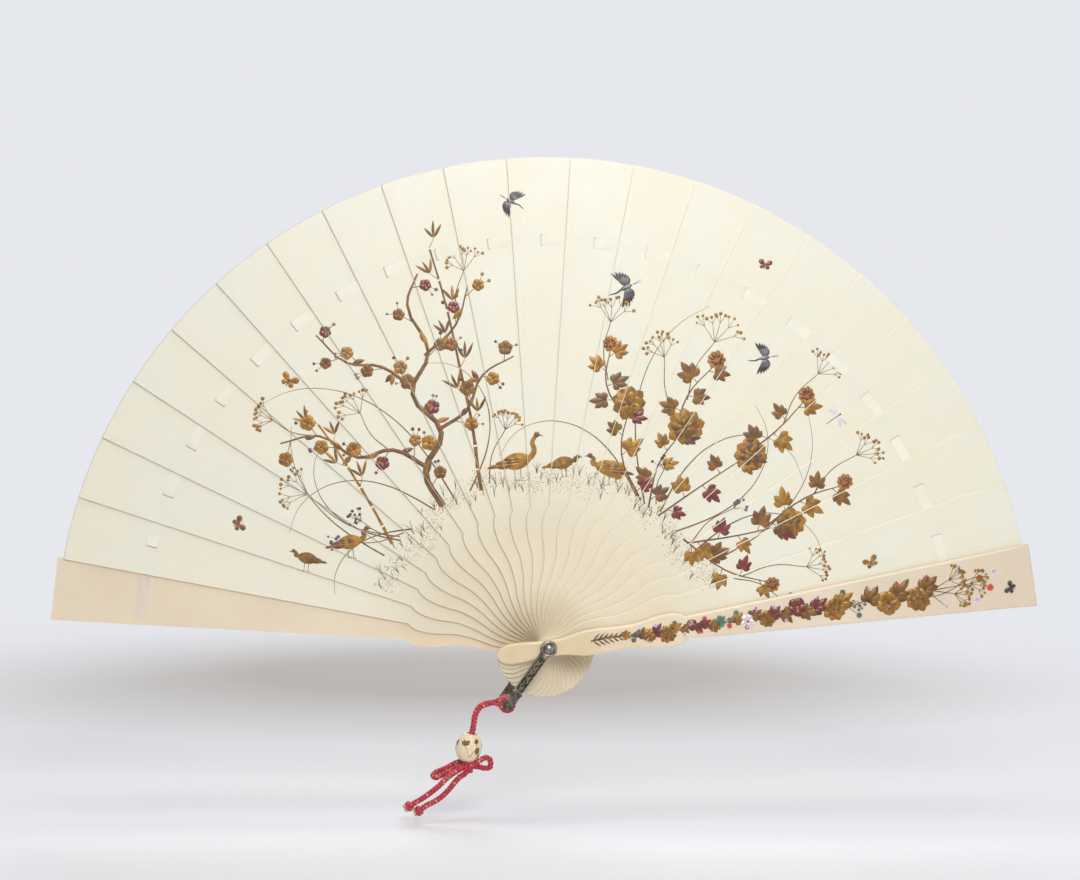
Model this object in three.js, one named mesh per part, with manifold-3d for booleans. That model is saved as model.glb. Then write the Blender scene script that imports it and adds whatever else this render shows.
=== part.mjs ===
// An open folding fan: flat ivory sticks between two guards, riveted at the head and threaded on a
// silk ribbon, with a silver bail and a silk cord tassel on the rivet. All sizes are millimetres.
// The origin is the middle of the rivet. X runs to the right, Z up, and the fan's front faces -Y.
// An angle is counted from +X towards +Z, which is counterclockwise for a viewer in front.

import * as THREE from 'three';
import { mergeVertices } from 'three/addons/utils/BufferGeometryUtils.js';
import Module from 'manifold-3d';

// Stack of leaves
const STICK_COUNT = 21;
const STICK_THICK = 0.8;
const GUARD_THICK = 3;
const LEAF_GAP = 0.35;
const OPEN_ANGLE = 165;
const BACK_GUARD_ANGLE = 173.6;

// Outline of a stick: radii are measured from the rivet, half-widths from the stick's centre line
const STICK_REACH = 253;
const STICK_TIP_HALF = 17.6;
const STICK_SHOULDER_HALF = 7.3;
const STICK_BULGE_HALF = 9.6;
const STICK_WAIST_HALF = 6.5;
const STICK_SWELL_HALF = 7.75;
const STICK_PIVOT_HALF = 4.5;
const STICK_HEAD_HALF = 5.4;
const STICK_HEAD_ROUND = 8.5;

// Outline of a guard, whose tip passes the sticks' tips
const GUARD_OVERHANG = 2.5;
const GUARD_TIP_HALF = 16.3;
const GUARD_SHOULDER_HALF = 6;
const GUARD_BULGE_HALF = 8.7;
const GUARD_WAIST_HALF = 6;
const GUARD_SWELL_HALF = 6.7;
const GUARD_PIVOT_HALF = 4.2;
const GUARD_HEAD_HALF = 5.3;
const GUARD_HEAD_ROUND = 8.5;
const GUARD_EDGE_ROUND = 1.1;

// Stations that all leaves share, each one counted from the one before it, outwards from the rivet
const HEAD_REACH = 26.7;
const PIVOT_WAIST_R = 2;
const PIVOT_TO_SWELL = 22;
const SWELL_TO_WAIST = 17;
const WAIST_TO_BULGE = 23;
const BULGE_TO_SHOULDER = 8;

// Ribbon and the slots that it is threaded through
const RIBBON_INSET = 42.8;
const RIBBON_WIDTH = 5;
const RIBBON_THICK = 0.1;
const RIBBON_GLUED_LENGTH = 24.5;
const SLOT_END_GAP = 0.3;
const SLOT_SIDE_GAP = 0.35;
const EDGE_MARGIN = 0.35;

// Rivet
const PIN_R = 1.5;
const PIN_CLEARANCE = 0.1;
const PIN_SIDES = 16;
const DOME_R = 2.4;
const DOME_HEIGHT = 1.5;
const CAP_GRIP = 0.8;
const SEAT_GAP = 0.3;

// Bail, whose collar lies just past the heads
const BAIL_ANGLE = 234.6;
const BAIL_EAR_R = 4.3;
const BAIL_THICK = 1.4;
const BAIL_ARM_HALF = 2.4;
const BAIL_COLLAR_GAP = 0.3;
const BAIL_COLLAR_LENGTH = 1.4;
const BAIL_COLLAR_HALF = 3;
const BAIL_COLLAR_TO_BAR = 9;
const BAIL_END_HALF = 2.7;
const BAIL_END_MARGIN = 2;
const BAIL_BAR_R = 1.2;

// Bead
const BEAD_R = 6.7;
const BEAD_LENGTH = 14.4;
const BEAD_BORE_R = 3.3;
const BEAD_CROWN = 8.3;
const BEAD_TILT = 12;
const BEAD_CENTRE = [-19.1, 0, -23.3];

// Cord and knots
const CORD_DIAMETER = 2.8;
const CORD_SIDES = 8;
const KNOT_HALF_SIZE = [3.6, 4.6, 2.4];
const KNOT_CENTRE = [-19.7, -0.4, -33.5];
const TUFT_R = 2.4;
const LEFT_TUFT_CENTRE = [-50.4, -3, -53.6];
const RIGHT_TUFT_CENTRE = [-45.4, -2.2, -56.1];

// Routes of the cord, from the middle of the bail's bar
const LOOP_ROUTE = [
  [-20.6, -1.6, -30.4],
  [-19.1, -1.6, -23.3],
  [-17.6, -1.6, -16.3],
  [-16.6, -1.6, -11.6],
  [-16.2, -1.6, -8.1],
  [-15.1, -1.6, -4.7],
  [-12.7, -1.6, -1.9],
  [-9.3, -1.6, -0.6],
  [-6.1, -1.6, 0.2],
  [-3.7, -1.6, 1.2],
  [-1.6, -1.4, 2.4],
  [0, -1.1, 2.85],
  [2, -0.6, 2],
  [2.85, 0, 0],
  [2, 0.6, -2],
  [0, 1.1, -2.85],
  [-1.8, 1.4, -2.3],
  [-3.9, 1.6, -1],
  [-6.1, 1.6, -0.4],
  [-9.3, 1.6, -0.6],
  [-12.7, 1.6, -1.9],
  [-15.1, 1.6, -4.7],
  [-16.2, 1.6, -8.1],
  [-16.6, 1.6, -11.6],
  [-17.6, 1.6, -16.3],
  [-19.1, 1.6, -23.3],
  [-20.6, 1.6, -30.4],
];
const RIGHT_LOOP_ROUTE = [
  [-15.4, -1.3, -31.3],
  [-13.1, -1.2, -29.9],
  [-10.2, -0.9, -28.6],
  [-8.3, -0.3, -29.6],
  [-7.6, 0.3, -31.9],
  [-8.2, 0.9, -34],
  [-10.9, 1.2, -34.4],
  [-13.4, 1.3, -33.8],
  [-15.4, 1.3, -33.5],
];
const LEFT_LOOP_ROUTE = [
  [-24, 3, -31.4],
  [-26.8, 3.2, -32.5],
  [-30.4, 3.2, -34.5],
  [-33.8, 3.3, -35.9],
  [-36, 3.2, -36.9],
  [-37.4, 1.6, -38.1],
  [-36.2, -0.1, -39],
  [-33.8, -0.1, -38.1],
  [-30.2, 0, -36.6],
  [-26.8, 0, -34.8],
  [-24.3, 0, -33.9],
];
const LEFT_TAIL_ROUTE = [
  [-23.2, -3, -34],
  [-26.4, -3.2, -35.9],
  [-30.2, -3.2, -38.6],
  [-34.5, -3.2, -42.8],
  [-38.8, -3.2, -46.3],
  [-43.1, -3.1, -49.3],
  [-48, -3, -52.2],
];
const RIGHT_TAIL_ROUTE = [
  [-21.2, -2.2, -36.8],
  [-23.6, -2.2, -38.4],
  [-26, -2.2, -40.8],
  [-29.4, -2.2, -45],
  [-32.8, -2.2, -48.4],
  [-36.7, -2.2, -51],
  [-41, -2.2, -53.2],
  [-43, -2.2, -54.6],
];

// Worked out from the sizes above
const SWELL_R = PIVOT_WAIST_R + PIVOT_TO_SWELL;
const WAIST_R = SWELL_R + SWELL_TO_WAIST;
const BULGE_R = WAIST_R + WAIST_TO_BULGE;
const SHOULDER_R = BULGE_R + BULGE_TO_SHOULDER;
const GUARD_REACH = STICK_REACH + GUARD_OVERHANG;
const RIBBON_R = STICK_REACH - RIBBON_INSET;
const LEAF_STEP = OPEN_ANGLE / (STICK_COUNT + 1);
const STACK_HALF = (STICK_COUNT * STICK_THICK + (STICK_COUNT + 1) * LEAF_GAP) / 2;
const STACK_PITCH = STICK_THICK + LEAF_GAP;
const GUARD_FACE_Y = STACK_HALF + GUARD_THICK;
const BAIL_FACE_Y = GUARD_FACE_Y + SEAT_GAP;
const DOME_SEAT_Y = BAIL_FACE_Y + BAIL_THICK + SEAT_GAP;
const BAIL_COLLAR_R = HEAD_REACH + BAIL_COLLAR_GAP;
const BAIL_BAR_REACH = BAIL_COLLAR_R + BAIL_COLLAR_TO_BAR;
const RIBBON_REST = (LEAF_GAP - 2 * RIBBON_THICK) / 4;
const SLOT_LENGTH = RIBBON_WIDTH + 2 * SLOT_END_GAP;
const SLOT_WIDTH = RIBBON_THICK + 2 * SLOT_SIDE_GAP;

const wasm = await Module();
wasm.setup();

function solidFrom(geometry) {
  const bare = geometry.clone();
  bare.deleteAttribute('normal');
  bare.deleteAttribute('uv');
  const merged = mergeVertices(bare);
  const vertProperties = new Float32Array(merged.attributes.position.array);
  const triVerts = new Uint32Array(merged.index.array);
  return new wasm.Manifold(new wasm.Mesh({ numProp: 3, vertProperties, triVerts }));
}

function geometryFrom(solid) {
  const { vertProperties, triVerts } = solid.getMesh();
  const geometry = new THREE.BufferGeometry();
  geometry.setAttribute('position', new THREE.BufferAttribute(vertProperties, 3));
  geometry.setIndex(new THREE.BufferAttribute(triVerts, 1));
  geometry.computeVertexNormals();
  return geometry;
}

function points3(route) {
  return route.map(([x, y, z]) => new THREE.Vector3(x, y, z));
}

// Materials
const ivory = () => new THREE.MeshStandardMaterial({ color: 0xeee8d4, roughness: 0.4, metalness: 0 });
const agedIvory = () => new THREE.MeshStandardMaterial({ color: 0xecdcb8, roughness: 0.38, metalness: 0 });
const silk = () => new THREE.MeshStandardMaterial({ color: 0xeae6da, roughness: 0.6, metalness: 0 });
const silver = () => new THREE.MeshStandardMaterial({ color: 0x8a857c, roughness: 0.38, metalness: 1 });
const crimson = () => new THREE.MeshStandardMaterial({ color: 0xaf2540, roughness: 0.75, metalness: 0 });

// An outline lies in its own plane with the rivet at the origin and the centre line along +x.
// An S-curve's two ends run along the leaf.
function easeTo(shape, fromR, fromHalf, toR, toHalf) {
  const middle = (fromR + toR) / 2;
  shape.bezierCurveTo(middle, fromHalf, middle, toHalf, toR, toHalf);
}

function leafOutline(leaf) {
  const headStart = leaf.headRound - HEAD_REACH;
  const shoulderRise = leaf.bulgeHalf - leaf.shoulderHalf;
  const shape = new THREE.Shape();
  shape.moveTo(leaf.reach, -leaf.tipHalf);
  if (leaf.roundTip) {
    const sweep = Math.asin(leaf.tipHalf / leaf.reach);
    const cornerR = leaf.reach * Math.cos(sweep);
    shape.moveTo(cornerR, -leaf.tipHalf);
    shape.absarc(0, 0, leaf.reach, -sweep, sweep, false);
  } else {
    shape.lineTo(leaf.reach, leaf.tipHalf);
  }
  shape.lineTo(SHOULDER_R, leaf.shoulderHalf);
  shape.bezierCurveTo(
    SHOULDER_R - 0.2 * BULGE_TO_SHOULDER, leaf.shoulderHalf + 0.6 * shoulderRise,
    BULGE_R + 0.5 * BULGE_TO_SHOULDER, leaf.bulgeHalf,
    BULGE_R, leaf.bulgeHalf,
  );
  easeTo(shape, BULGE_R, leaf.bulgeHalf, WAIST_R, leaf.waistHalf);
  easeTo(shape, WAIST_R, leaf.waistHalf, SWELL_R, leaf.swellHalf);
  easeTo(shape, SWELL_R, leaf.swellHalf, PIVOT_WAIST_R, leaf.pivotHalf);
  easeTo(shape, PIVOT_WAIST_R, leaf.pivotHalf, headStart, leaf.headHalf);
  shape.absellipse(headStart, 0, leaf.headRound, leaf.headHalf, Math.PI / 2, 1.5 * Math.PI, false);
  easeTo(shape, headStart, -leaf.headHalf, PIVOT_WAIST_R, -leaf.pivotHalf);
  easeTo(shape, PIVOT_WAIST_R, -leaf.pivotHalf, SWELL_R, -leaf.swellHalf);
  easeTo(shape, SWELL_R, -leaf.swellHalf, WAIST_R, -leaf.waistHalf);
  easeTo(shape, WAIST_R, -leaf.waistHalf, BULGE_R, -leaf.bulgeHalf);
  shape.bezierCurveTo(
    BULGE_R + 0.5 * BULGE_TO_SHOULDER, -leaf.bulgeHalf,
    SHOULDER_R - 0.2 * BULGE_TO_SHOULDER, -leaf.shoulderHalf - 0.6 * shoulderRise,
    SHOULDER_R, -leaf.shoulderHalf,
  );
  return shape;
}

function roundHole(radius) {
  const rim = new THREE.EllipseCurve(0, 0, radius, radius).getPoints(PIN_SIDES);
  return new THREE.Path(rim.slice(0, PIN_SIDES));
}

function slotHole() {
  const inner = RIBBON_R - SLOT_LENGTH / 2;
  const outer = RIBBON_R + SLOT_LENGTH / 2;
  const side = SLOT_WIDTH / 2;
  return new THREE.Path([
    new THREE.Vector2(inner, -side),
    new THREE.Vector2(inner, side),
    new THREE.Vector2(outer, side),
    new THREE.Vector2(outer, -side),
  ]);
}

const STICK_LEAF = {
  reach: STICK_REACH,
  roundTip: true,
  tipHalf: STICK_TIP_HALF,
  shoulderHalf: STICK_SHOULDER_HALF,
  bulgeHalf: STICK_BULGE_HALF,
  waistHalf: STICK_WAIST_HALF,
  swellHalf: STICK_SWELL_HALF,
  pivotHalf: STICK_PIVOT_HALF,
  headHalf: STICK_HEAD_HALF,
  headRound: STICK_HEAD_ROUND,
};
const GUARD_LEAF = {
  reach: GUARD_REACH,
  roundTip: false,
  tipHalf: GUARD_TIP_HALF,
  shoulderHalf: GUARD_SHOULDER_HALF,
  bulgeHalf: GUARD_BULGE_HALF,
  waistHalf: GUARD_WAIST_HALF,
  swellHalf: GUARD_SWELL_HALF,
  pivotHalf: GUARD_PIVOT_HALF,
  headHalf: GUARD_HEAD_HALF,
  headRound: GUARD_HEAD_ROUND,
};

// Half-width of a leaf's straight-sided blade at a radius
function bladeHalf(leaf, radius) {
  const share = (radius - SHOULDER_R) / (leaf.reach - SHOULDER_R);
  return leaf.shoulderHalf + share * (leaf.tipHalf - leaf.shoulderHalf);
}

// A leaf's geometry has its back face at y = 0 and its front face at -y
function stickGeometry() {
  const shape = leafOutline(STICK_LEAF);
  shape.holes.push(roundHole(PIN_R + PIN_CLEARANCE), slotHole());
  const options = { depth: STICK_THICK, bevelEnabled: false, curveSegments: 4 };
  return new THREE.ExtrudeGeometry(shape, options).rotateX(Math.PI / 2);
}

// A guard's inner face is flat at y = 0, and its outer face at -y has a rounded edge
function guardGeometry() {
  const plate = new THREE.ExtrudeGeometry(leafOutline(GUARD_LEAF), {
    depth: GUARD_THICK - GUARD_EDGE_ROUND,
    bevelThickness: GUARD_EDGE_ROUND,
    bevelSize: GUARD_EDGE_ROUND,
    bevelOffset: -GUARD_EDGE_ROUND,
    bevelSegments: 2,
    curveSegments: 4,
  });
  const wide = 2.2 * GUARD_REACH;
  const inner = new THREE.BoxGeometry(wide, wide, 2 * GUARD_EDGE_ROUND);
  inner.translate(0, 0, -GUARD_EDGE_ROUND);
  const hole = new THREE.CylinderGeometry(
    PIN_R + PIN_CLEARANCE, PIN_R + PIN_CLEARANCE, 4 * GUARD_THICK, PIN_SIDES,
  ).rotateX(Math.PI / 2);
  const solid = solidFrom(plate).subtract(solidFrom(inner)).subtract(solidFrom(hole));
  return geometryFrom(solid).rotateX(Math.PI / 2);
}

// A strip's section is drawn across the leaf and through its thickness, and runs along the leaf.
// Drawn x is across, to the front viewer's right, and drawn y is forwards from the leaf's back face.
function ribbonGeometry(section) {
  const shape = new THREE.Shape(section.map(([x, y]) => new THREE.Vector2(x, y)));
  const options = { depth: RIBBON_WIDTH, bevelEnabled: false };
  const geometry = new THREE.ExtrudeGeometry(shape, options);
  const across = new THREE.Vector3(0, 0, -1);
  const forwards = new THREE.Vector3(0, -1, 0);
  const along = new THREE.Vector3(-1, 0, 0);
  geometry.applyMatrix4(new THREE.Matrix4().makeBasis(across, forwards, along));
  return geometry.translate(RIBBON_R + RIBBON_WIDTH / 2, 0, 0);
}

function stickRibbonGeometry() {
  const side = bladeHalf(STICK_LEAF, RIBBON_R - RIBBON_WIDTH / 2) - EDGE_MARGIN;
  const leg = RIBBON_THICK / 2;
  const back = -RIBBON_REST;
  const front = STICK_THICK + RIBBON_REST;
  return ribbonGeometry([
    [-side, back - RIBBON_THICK],
    [leg, back - RIBBON_THICK],
    [leg, front],
    [side, front],
    [side, front + RIBBON_THICK],
    [-leg, front + RIBBON_THICK],
    [-leg, back],
    [-side, back],
  ]);
}

// The glued end starts near the guard's edge on the side of the next leaf
function gluedRibbonGeometry() {
  const side = bladeHalf(GUARD_LEAF, RIBBON_R - RIBBON_WIDTH / 2) - EDGE_MARGIN;
  const near = RIBBON_REST;
  return ribbonGeometry([
    [side - RIBBON_GLUED_LENGTH, near],
    [side, near],
    [side, near + RIBBON_THICK],
    [side - RIBBON_GLUED_LENGTH, near + RIBBON_THICK],
  ]);
}

// A quarter of an ellipse, from its rim to its pole, for a lathe's profile
function quarterDome(radius, height, seatY, steps) {
  const points = [];
  for (let i = 0; i <= steps; i += 1) {
    const turn = (i / steps) * (Math.PI / 2);
    points.push(new THREE.Vector2(radius * Math.cos(turn), seatY + height * Math.sin(turn)));
  }
  points[steps].x = 0;
  return points;
}

function rivetGeometry() {
  const pinEnd = -(DOME_SEAT_Y + CAP_GRIP);
  const profile = [
    new THREE.Vector2(0, pinEnd),
    new THREE.Vector2(PIN_R, pinEnd),
    new THREE.Vector2(PIN_R, DOME_SEAT_Y),
    ...quarterDome(DOME_R, DOME_HEIGHT, DOME_SEAT_Y, 5),
  ];
  return new THREE.LatheGeometry(profile, PIN_SIDES).rotateX(Math.PI);
}

function rivetCapGeometry() {
  const boreR = PIN_R + PIN_CLEARANCE;
  const boreEnd = DOME_SEAT_Y + CAP_GRIP + PIN_CLEARANCE;
  const profile = [
    new THREE.Vector2(0, boreEnd),
    new THREE.Vector2(boreR, boreEnd),
    new THREE.Vector2(boreR, DOME_SEAT_Y),
    ...quarterDome(DOME_R, DOME_HEIGHT, DOME_SEAT_Y, 5),
  ];
  return new THREE.LatheGeometry(profile, PIN_SIDES);
}

function bailArmGeometry() {
  const reach = BAIL_BAR_REACH + BAIL_END_MARGIN;
  const neck = Math.asin(BAIL_ARM_HALF / BAIL_EAR_R);
  const collarEnd = BAIL_COLLAR_R + BAIL_COLLAR_LENGTH;
  const corner = BAIL_END_MARGIN / 2;
  const shape = new THREE.Shape();
  shape.absarc(0, 0, BAIL_EAR_R, neck, 2 * Math.PI - neck, false);
  shape.lineTo(BAIL_COLLAR_R, -BAIL_ARM_HALF);
  shape.lineTo(BAIL_COLLAR_R, -BAIL_COLLAR_HALF);
  shape.lineTo(collarEnd, -BAIL_COLLAR_HALF);
  shape.lineTo(collarEnd, -BAIL_END_HALF);
  shape.lineTo(reach - corner, -BAIL_END_HALF);
  shape.lineTo(reach, corner - BAIL_END_HALF);
  shape.lineTo(reach, BAIL_END_HALF - corner);
  shape.lineTo(reach - corner, BAIL_END_HALF);
  shape.lineTo(collarEnd, BAIL_END_HALF);
  shape.lineTo(collarEnd, BAIL_COLLAR_HALF);
  shape.lineTo(BAIL_COLLAR_R, BAIL_COLLAR_HALF);
  shape.lineTo(BAIL_COLLAR_R, BAIL_ARM_HALF);
  shape.holes.push(roundHole(PIN_R + PIN_CLEARANCE));
  const options = { depth: BAIL_THICK, bevelEnabled: false, curveSegments: 8 };
  return new THREE.ExtrudeGeometry(shape, options).rotateX(Math.PI / 2);
}

function bailGeometry() {
  const frontArm = bailArmGeometry().translate(0, -BAIL_FACE_Y, 0);
  const backArm = bailArmGeometry().translate(0, BAIL_FACE_Y + BAIL_THICK, 0);
  const barLength = 2 * BAIL_FACE_Y + BAIL_THICK;
  const bar = new THREE.CylinderGeometry(BAIL_BAR_R, BAIL_BAR_R, barLength, 12);
  bar.translate(BAIL_BAR_REACH, 0, 0);
  return geometryFrom(solidFrom(frontArm).add(solidFrom(backArm)).add(solidFrom(bar)));
}

// The bead is turned about its bore, its crown cut flat at both ends of the bore
function beadGeometry() {
  const profile = [new THREE.Vector2(BEAD_BORE_R, -BEAD_LENGTH / 2)];
  const steps = 10;
  for (let i = 0; i <= steps; i += 1) {
    const y = (i / steps - 0.5) * BEAD_LENGTH;
    profile.push(new THREE.Vector2(BEAD_R * Math.sqrt(1 - (y / BEAD_CROWN) ** 2), y));
  }
  profile.push(new THREE.Vector2(BEAD_BORE_R, BEAD_LENGTH / 2));
  profile.push(profile[0].clone());
  return new THREE.LatheGeometry(profile, 20).rotateX(Math.PI / 2);
}

function cordGeometry(route, steps) {
  const section = new THREE.Shape(
    new THREE.EllipseCurve(0, 0, CORD_DIAMETER / 2, CORD_DIAMETER / 2).getPoints(CORD_SIDES).slice(0, -1),
  );
  const extrudePath = new THREE.CatmullRomCurve3(points3(route), false, 'centripetal');
  return new THREE.ExtrudeGeometry(section, { steps, extrudePath, bevelEnabled: false });
}

const fan = new THREE.Group();

function piece(name, geometry, material, parent) {
  const mesh = new THREE.Mesh(geometry, material);
  mesh.name = name;
  parent.add(mesh);
  return mesh;
}

// A leaf's own group turns it to its angle in the fan and sets its back face in the stack
function leafGroup(index, backY) {
  const group = new THREE.Group();
  const angle = BACK_GUARD_ANGLE - index * LEAF_STEP;
  group.rotation.y = -THREE.MathUtils.degToRad(angle);
  group.position.y = backY;
  fan.add(group);
  return group;
}

function twoDigits(index) {
  return String(index).padStart(2, '0');
}

// Back guard, sticks and front guard, with the ribbon strips that each one carries
const guard = guardGeometry();
const gluedRibbon = gluedRibbonGeometry();
const backGuard = leafGroup(0, STACK_HALF);
piece('back_guard', guard, agedIvory(), backGuard).rotation.x = Math.PI;
piece('ribbon_00', gluedRibbon, silk(), backGuard);

const stick = stickGeometry();
const stickRibbon = stickRibbonGeometry();
for (let index = 1; index <= STICK_COUNT; index += 1) {
  const backY = STACK_HALF - LEAF_GAP - (index - 1) * STACK_PITCH;
  const leaf = leafGroup(index, backY);
  piece(`stick_${twoDigits(index)}`, stick, ivory(), leaf);
  piece(`ribbon_${twoDigits(index)}`, stickRibbon, silk(), leaf);
}

const frontGuard = leafGroup(STICK_COUNT + 1, -STACK_HALF);
piece('front_guard', guard, agedIvory(), frontGuard);
const lastRibbon = piece(`ribbon_${twoDigits(STICK_COUNT + 1)}`, gluedRibbon, silk(), frontGuard);
lastRibbon.rotation.x = Math.PI;

// Rivet through all heads and both ears of the bail
piece('rivet_pin', rivetGeometry(), silver(), fan);
piece('rivet_cap', rivetCapGeometry(), silver(), fan);

// Bail, and the tassel whose cord is looped round its bar
const bail = new THREE.Group();
bail.rotation.y = -THREE.MathUtils.degToRad(BAIL_ANGLE);
fan.add(bail);
piece('bail', bailGeometry(), silver(), bail);

const tassel = new THREE.Group();
const bailAngle = THREE.MathUtils.degToRad(BAIL_ANGLE);
tassel.position.set(BAIL_BAR_REACH * Math.cos(bailAngle), 0, BAIL_BAR_REACH * Math.sin(bailAngle));
fan.add(tassel);
piece('cord_loop', cordGeometry(LOOP_ROUTE, 36), crimson(), tassel);
piece('loop_right', cordGeometry(RIGHT_LOOP_ROUTE, 12), crimson(), tassel);
piece('loop_left', cordGeometry(LEFT_LOOP_ROUTE, 14), crimson(), tassel);
piece('tail_left', cordGeometry(LEFT_TAIL_ROUTE, 8), crimson(), tassel);
piece('tail_right', cordGeometry(RIGHT_TAIL_ROUTE, 8), crimson(), tassel);

const knot = new THREE.SphereGeometry(1, 16, 10).scale(...KNOT_HALF_SIZE);
piece('bow_knot', knot, crimson(), tassel).position.set(...KNOT_CENTRE);
const tuft = new THREE.SphereGeometry(TUFT_R, 12, 8);
piece('tail_end_left', tuft, crimson(), tassel).position.set(...LEFT_TUFT_CENTRE);
piece('tail_end_right', tuft, crimson(), tassel).position.set(...RIGHT_TUFT_CENTRE);

const bead = piece('bead', beadGeometry(), agedIvory(), tassel);
bead.rotation.y = THREE.MathUtils.degToRad(BEAD_TILT);
bead.position.set(...BEAD_CENTRE);

export default fan;
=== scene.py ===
"""An open folding fan: ivory-coloured sticks with a raised lacquer picture, a silk ribbon, a silver
bail and a silk cord tassel. Shapes are drawn in millimetres and made metres as they are placed."""

import math
import random

import bmesh
import bpy
from mathutils import Matrix, Vector, noise


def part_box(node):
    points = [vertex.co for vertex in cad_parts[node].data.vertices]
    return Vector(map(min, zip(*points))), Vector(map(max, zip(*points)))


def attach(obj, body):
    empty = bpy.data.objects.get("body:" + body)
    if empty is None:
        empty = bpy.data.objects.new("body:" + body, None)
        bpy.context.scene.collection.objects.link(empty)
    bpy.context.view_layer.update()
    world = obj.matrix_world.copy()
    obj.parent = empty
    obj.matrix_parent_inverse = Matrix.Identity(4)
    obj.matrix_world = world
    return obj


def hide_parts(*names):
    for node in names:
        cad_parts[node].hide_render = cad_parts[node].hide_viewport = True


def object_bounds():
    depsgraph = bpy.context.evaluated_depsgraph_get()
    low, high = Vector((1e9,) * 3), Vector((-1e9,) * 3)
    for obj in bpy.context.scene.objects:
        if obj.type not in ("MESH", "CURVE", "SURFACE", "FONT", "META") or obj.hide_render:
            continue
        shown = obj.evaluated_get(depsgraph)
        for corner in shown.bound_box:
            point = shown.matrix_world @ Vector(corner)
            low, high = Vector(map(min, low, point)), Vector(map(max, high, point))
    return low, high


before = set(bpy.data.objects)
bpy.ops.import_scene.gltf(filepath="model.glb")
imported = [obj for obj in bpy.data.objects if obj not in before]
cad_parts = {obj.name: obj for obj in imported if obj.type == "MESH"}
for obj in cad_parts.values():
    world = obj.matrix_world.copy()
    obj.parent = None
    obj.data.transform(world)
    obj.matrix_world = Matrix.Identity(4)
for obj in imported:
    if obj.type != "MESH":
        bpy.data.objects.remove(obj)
CAD_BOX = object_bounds()

MM = 0.001
TO_METRES = Matrix.Scale(MM, 4)

# Camera, as the photograph was taken
IMAGE_WIDTH = 1080
FOCAL_PIXELS = 2316.5
CAMERA_DISTANCE = 1.2
CAMERA_TARGET = (-0.00401, 0.0, 0.10672)
CAMERA_AZIMUTH = -4.2
CAMERA_ELEVATION = 1.0
CAMERA_ROLL = 0.39
SENSOR_WIDTH = 36

# Stack of leaves
STICK_COUNT = 21
LEAF_STEP = 7.5
BACK_GUARD_ANGLE = 173.6
LAST_LEAF = STICK_COUNT + 1
STICK_THICK = 0.8
GUARD_THICK = 3.0
STICK_EDGE_ROUND = 0.36
GUARD_EDGE_ROUND = 1.25
GUARD_EDGE_DROP = 1.1

# Outline of a stick and of a guard
STICK = {
    "reach": 253, "round_tip": True, "tip": 17.6, "shoulder": 7.3, "bulge": 9.6, "waist": 6.5,
    "swell": 7.75, "pivot": 4.5, "head": 5.4, "head_round": 8.5,
}
GUARD = {
    "reach": 255.5, "round_tip": False, "tip": 16.3, "shoulder": 6.0, "bulge": 8.7, "waist": 6.0,
    "swell": 6.7, "pivot": 4.2, "head": 5.3, "head_round": 8.5,
}
SHOULDER_R = 72
SHOULDER_RUN = 8
BULGE_R = 64
WAIST_R = 41
SWELL_R = 24
PIVOT_WAIST_R = 2
HEAD_REACH = 26.7
HOLE_R = 1.6
SLOT_CENTRE_R = 210.2
SLOT_LENGTH = 5.6
SLOT_WIDTH = 0.8

# Bail, rivet, bead and cord
BAIL_ANGLE = 234.6
BAIL_THICK = 1.4
BAIL_ROUND = 0.5
EAR_R = 4.3
ARM_HALF = 2.4
COLLAR_R = 27
COLLAR_LENGTH = 1.4
COLLAR_HALF = 3.0
END_HALF = 2.7
BAR_REACH = 36
BAR_R = 1.2
END_MARGIN = 2
PIN_R = 1.5
DOME_R = 2.4
BEAD_R = 6.7
BEAD_CROWN = 8.3
BEAD_LENGTH = 14.4
BEAD_BORE_R = 3.3
BEAD_TILT = 12
BEAD_CENTRE = Vector((-19.1, 0, -23.3))
CORD_DIAMETER = 2.8
KNOT_CENTRE = Vector((-19.7, -0.4, -33.5))
LEFT_TUFT_CENTRE = Vector((-50.4, -3, -53.6))
RIGHT_TUFT_CENTRE = Vector((-45.4, -2.2, -56.1))
TASSEL_ORIGIN = Vector((
    BAR_REACH * math.cos(math.radians(BAIL_ANGLE)), 0, BAR_REACH * math.sin(math.radians(BAIL_ANGLE)),
))

# Routes of the cord, from the middle of the bail's bar. The doubled cord's two runs lie side by side
DOUBLED_RUN = [
    (-20.6, -30.4), (-19.1, -23.3), (-17.6, -16.3), (-16.6, -11.6), (-16.2, -8.1), (-15.1, -4.7),
    (-12.7, -1.9), (-9.3, -0.6),
]
BAR_LOOP = [
    (-6.1, -1.6, 0.2), (-3.7, -1.6, 1.2), (-1.6, -1.4, 2.4), (0, -1.1, 2.85), (2, -0.6, 2),
    (2.85, 0, 0), (2, 0.6, -2), (0, 1.1, -2.85), (-1.8, 1.4, -2.3), (-3.9, 1.6, -1), (-6.1, 1.6, -0.4),
]
LOOP_ROUTE = [
    *[(x, -1.6, z) for x, z in DOUBLED_RUN], *BAR_LOOP, *[(x, 1.6, z) for x, z in DOUBLED_RUN[::-1]],
]
RIGHT_LOOP_ROUTE = [
    (-17.6, -1.2, -32.6), (-15.4, -1.3, -31.3), (-13.1, -1.2, -29.9), (-10.2, -0.9, -28.6),
    (-8.3, -0.3, -29.6), (-7.6, 0.3, -31.9), (-8.2, 0.9, -34), (-10.9, 1.2, -34.4),
    (-13.4, 1.3, -33.8), (-15.4, 1.3, -33.5), (-17.8, 1.2, -33.4),
]
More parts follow.
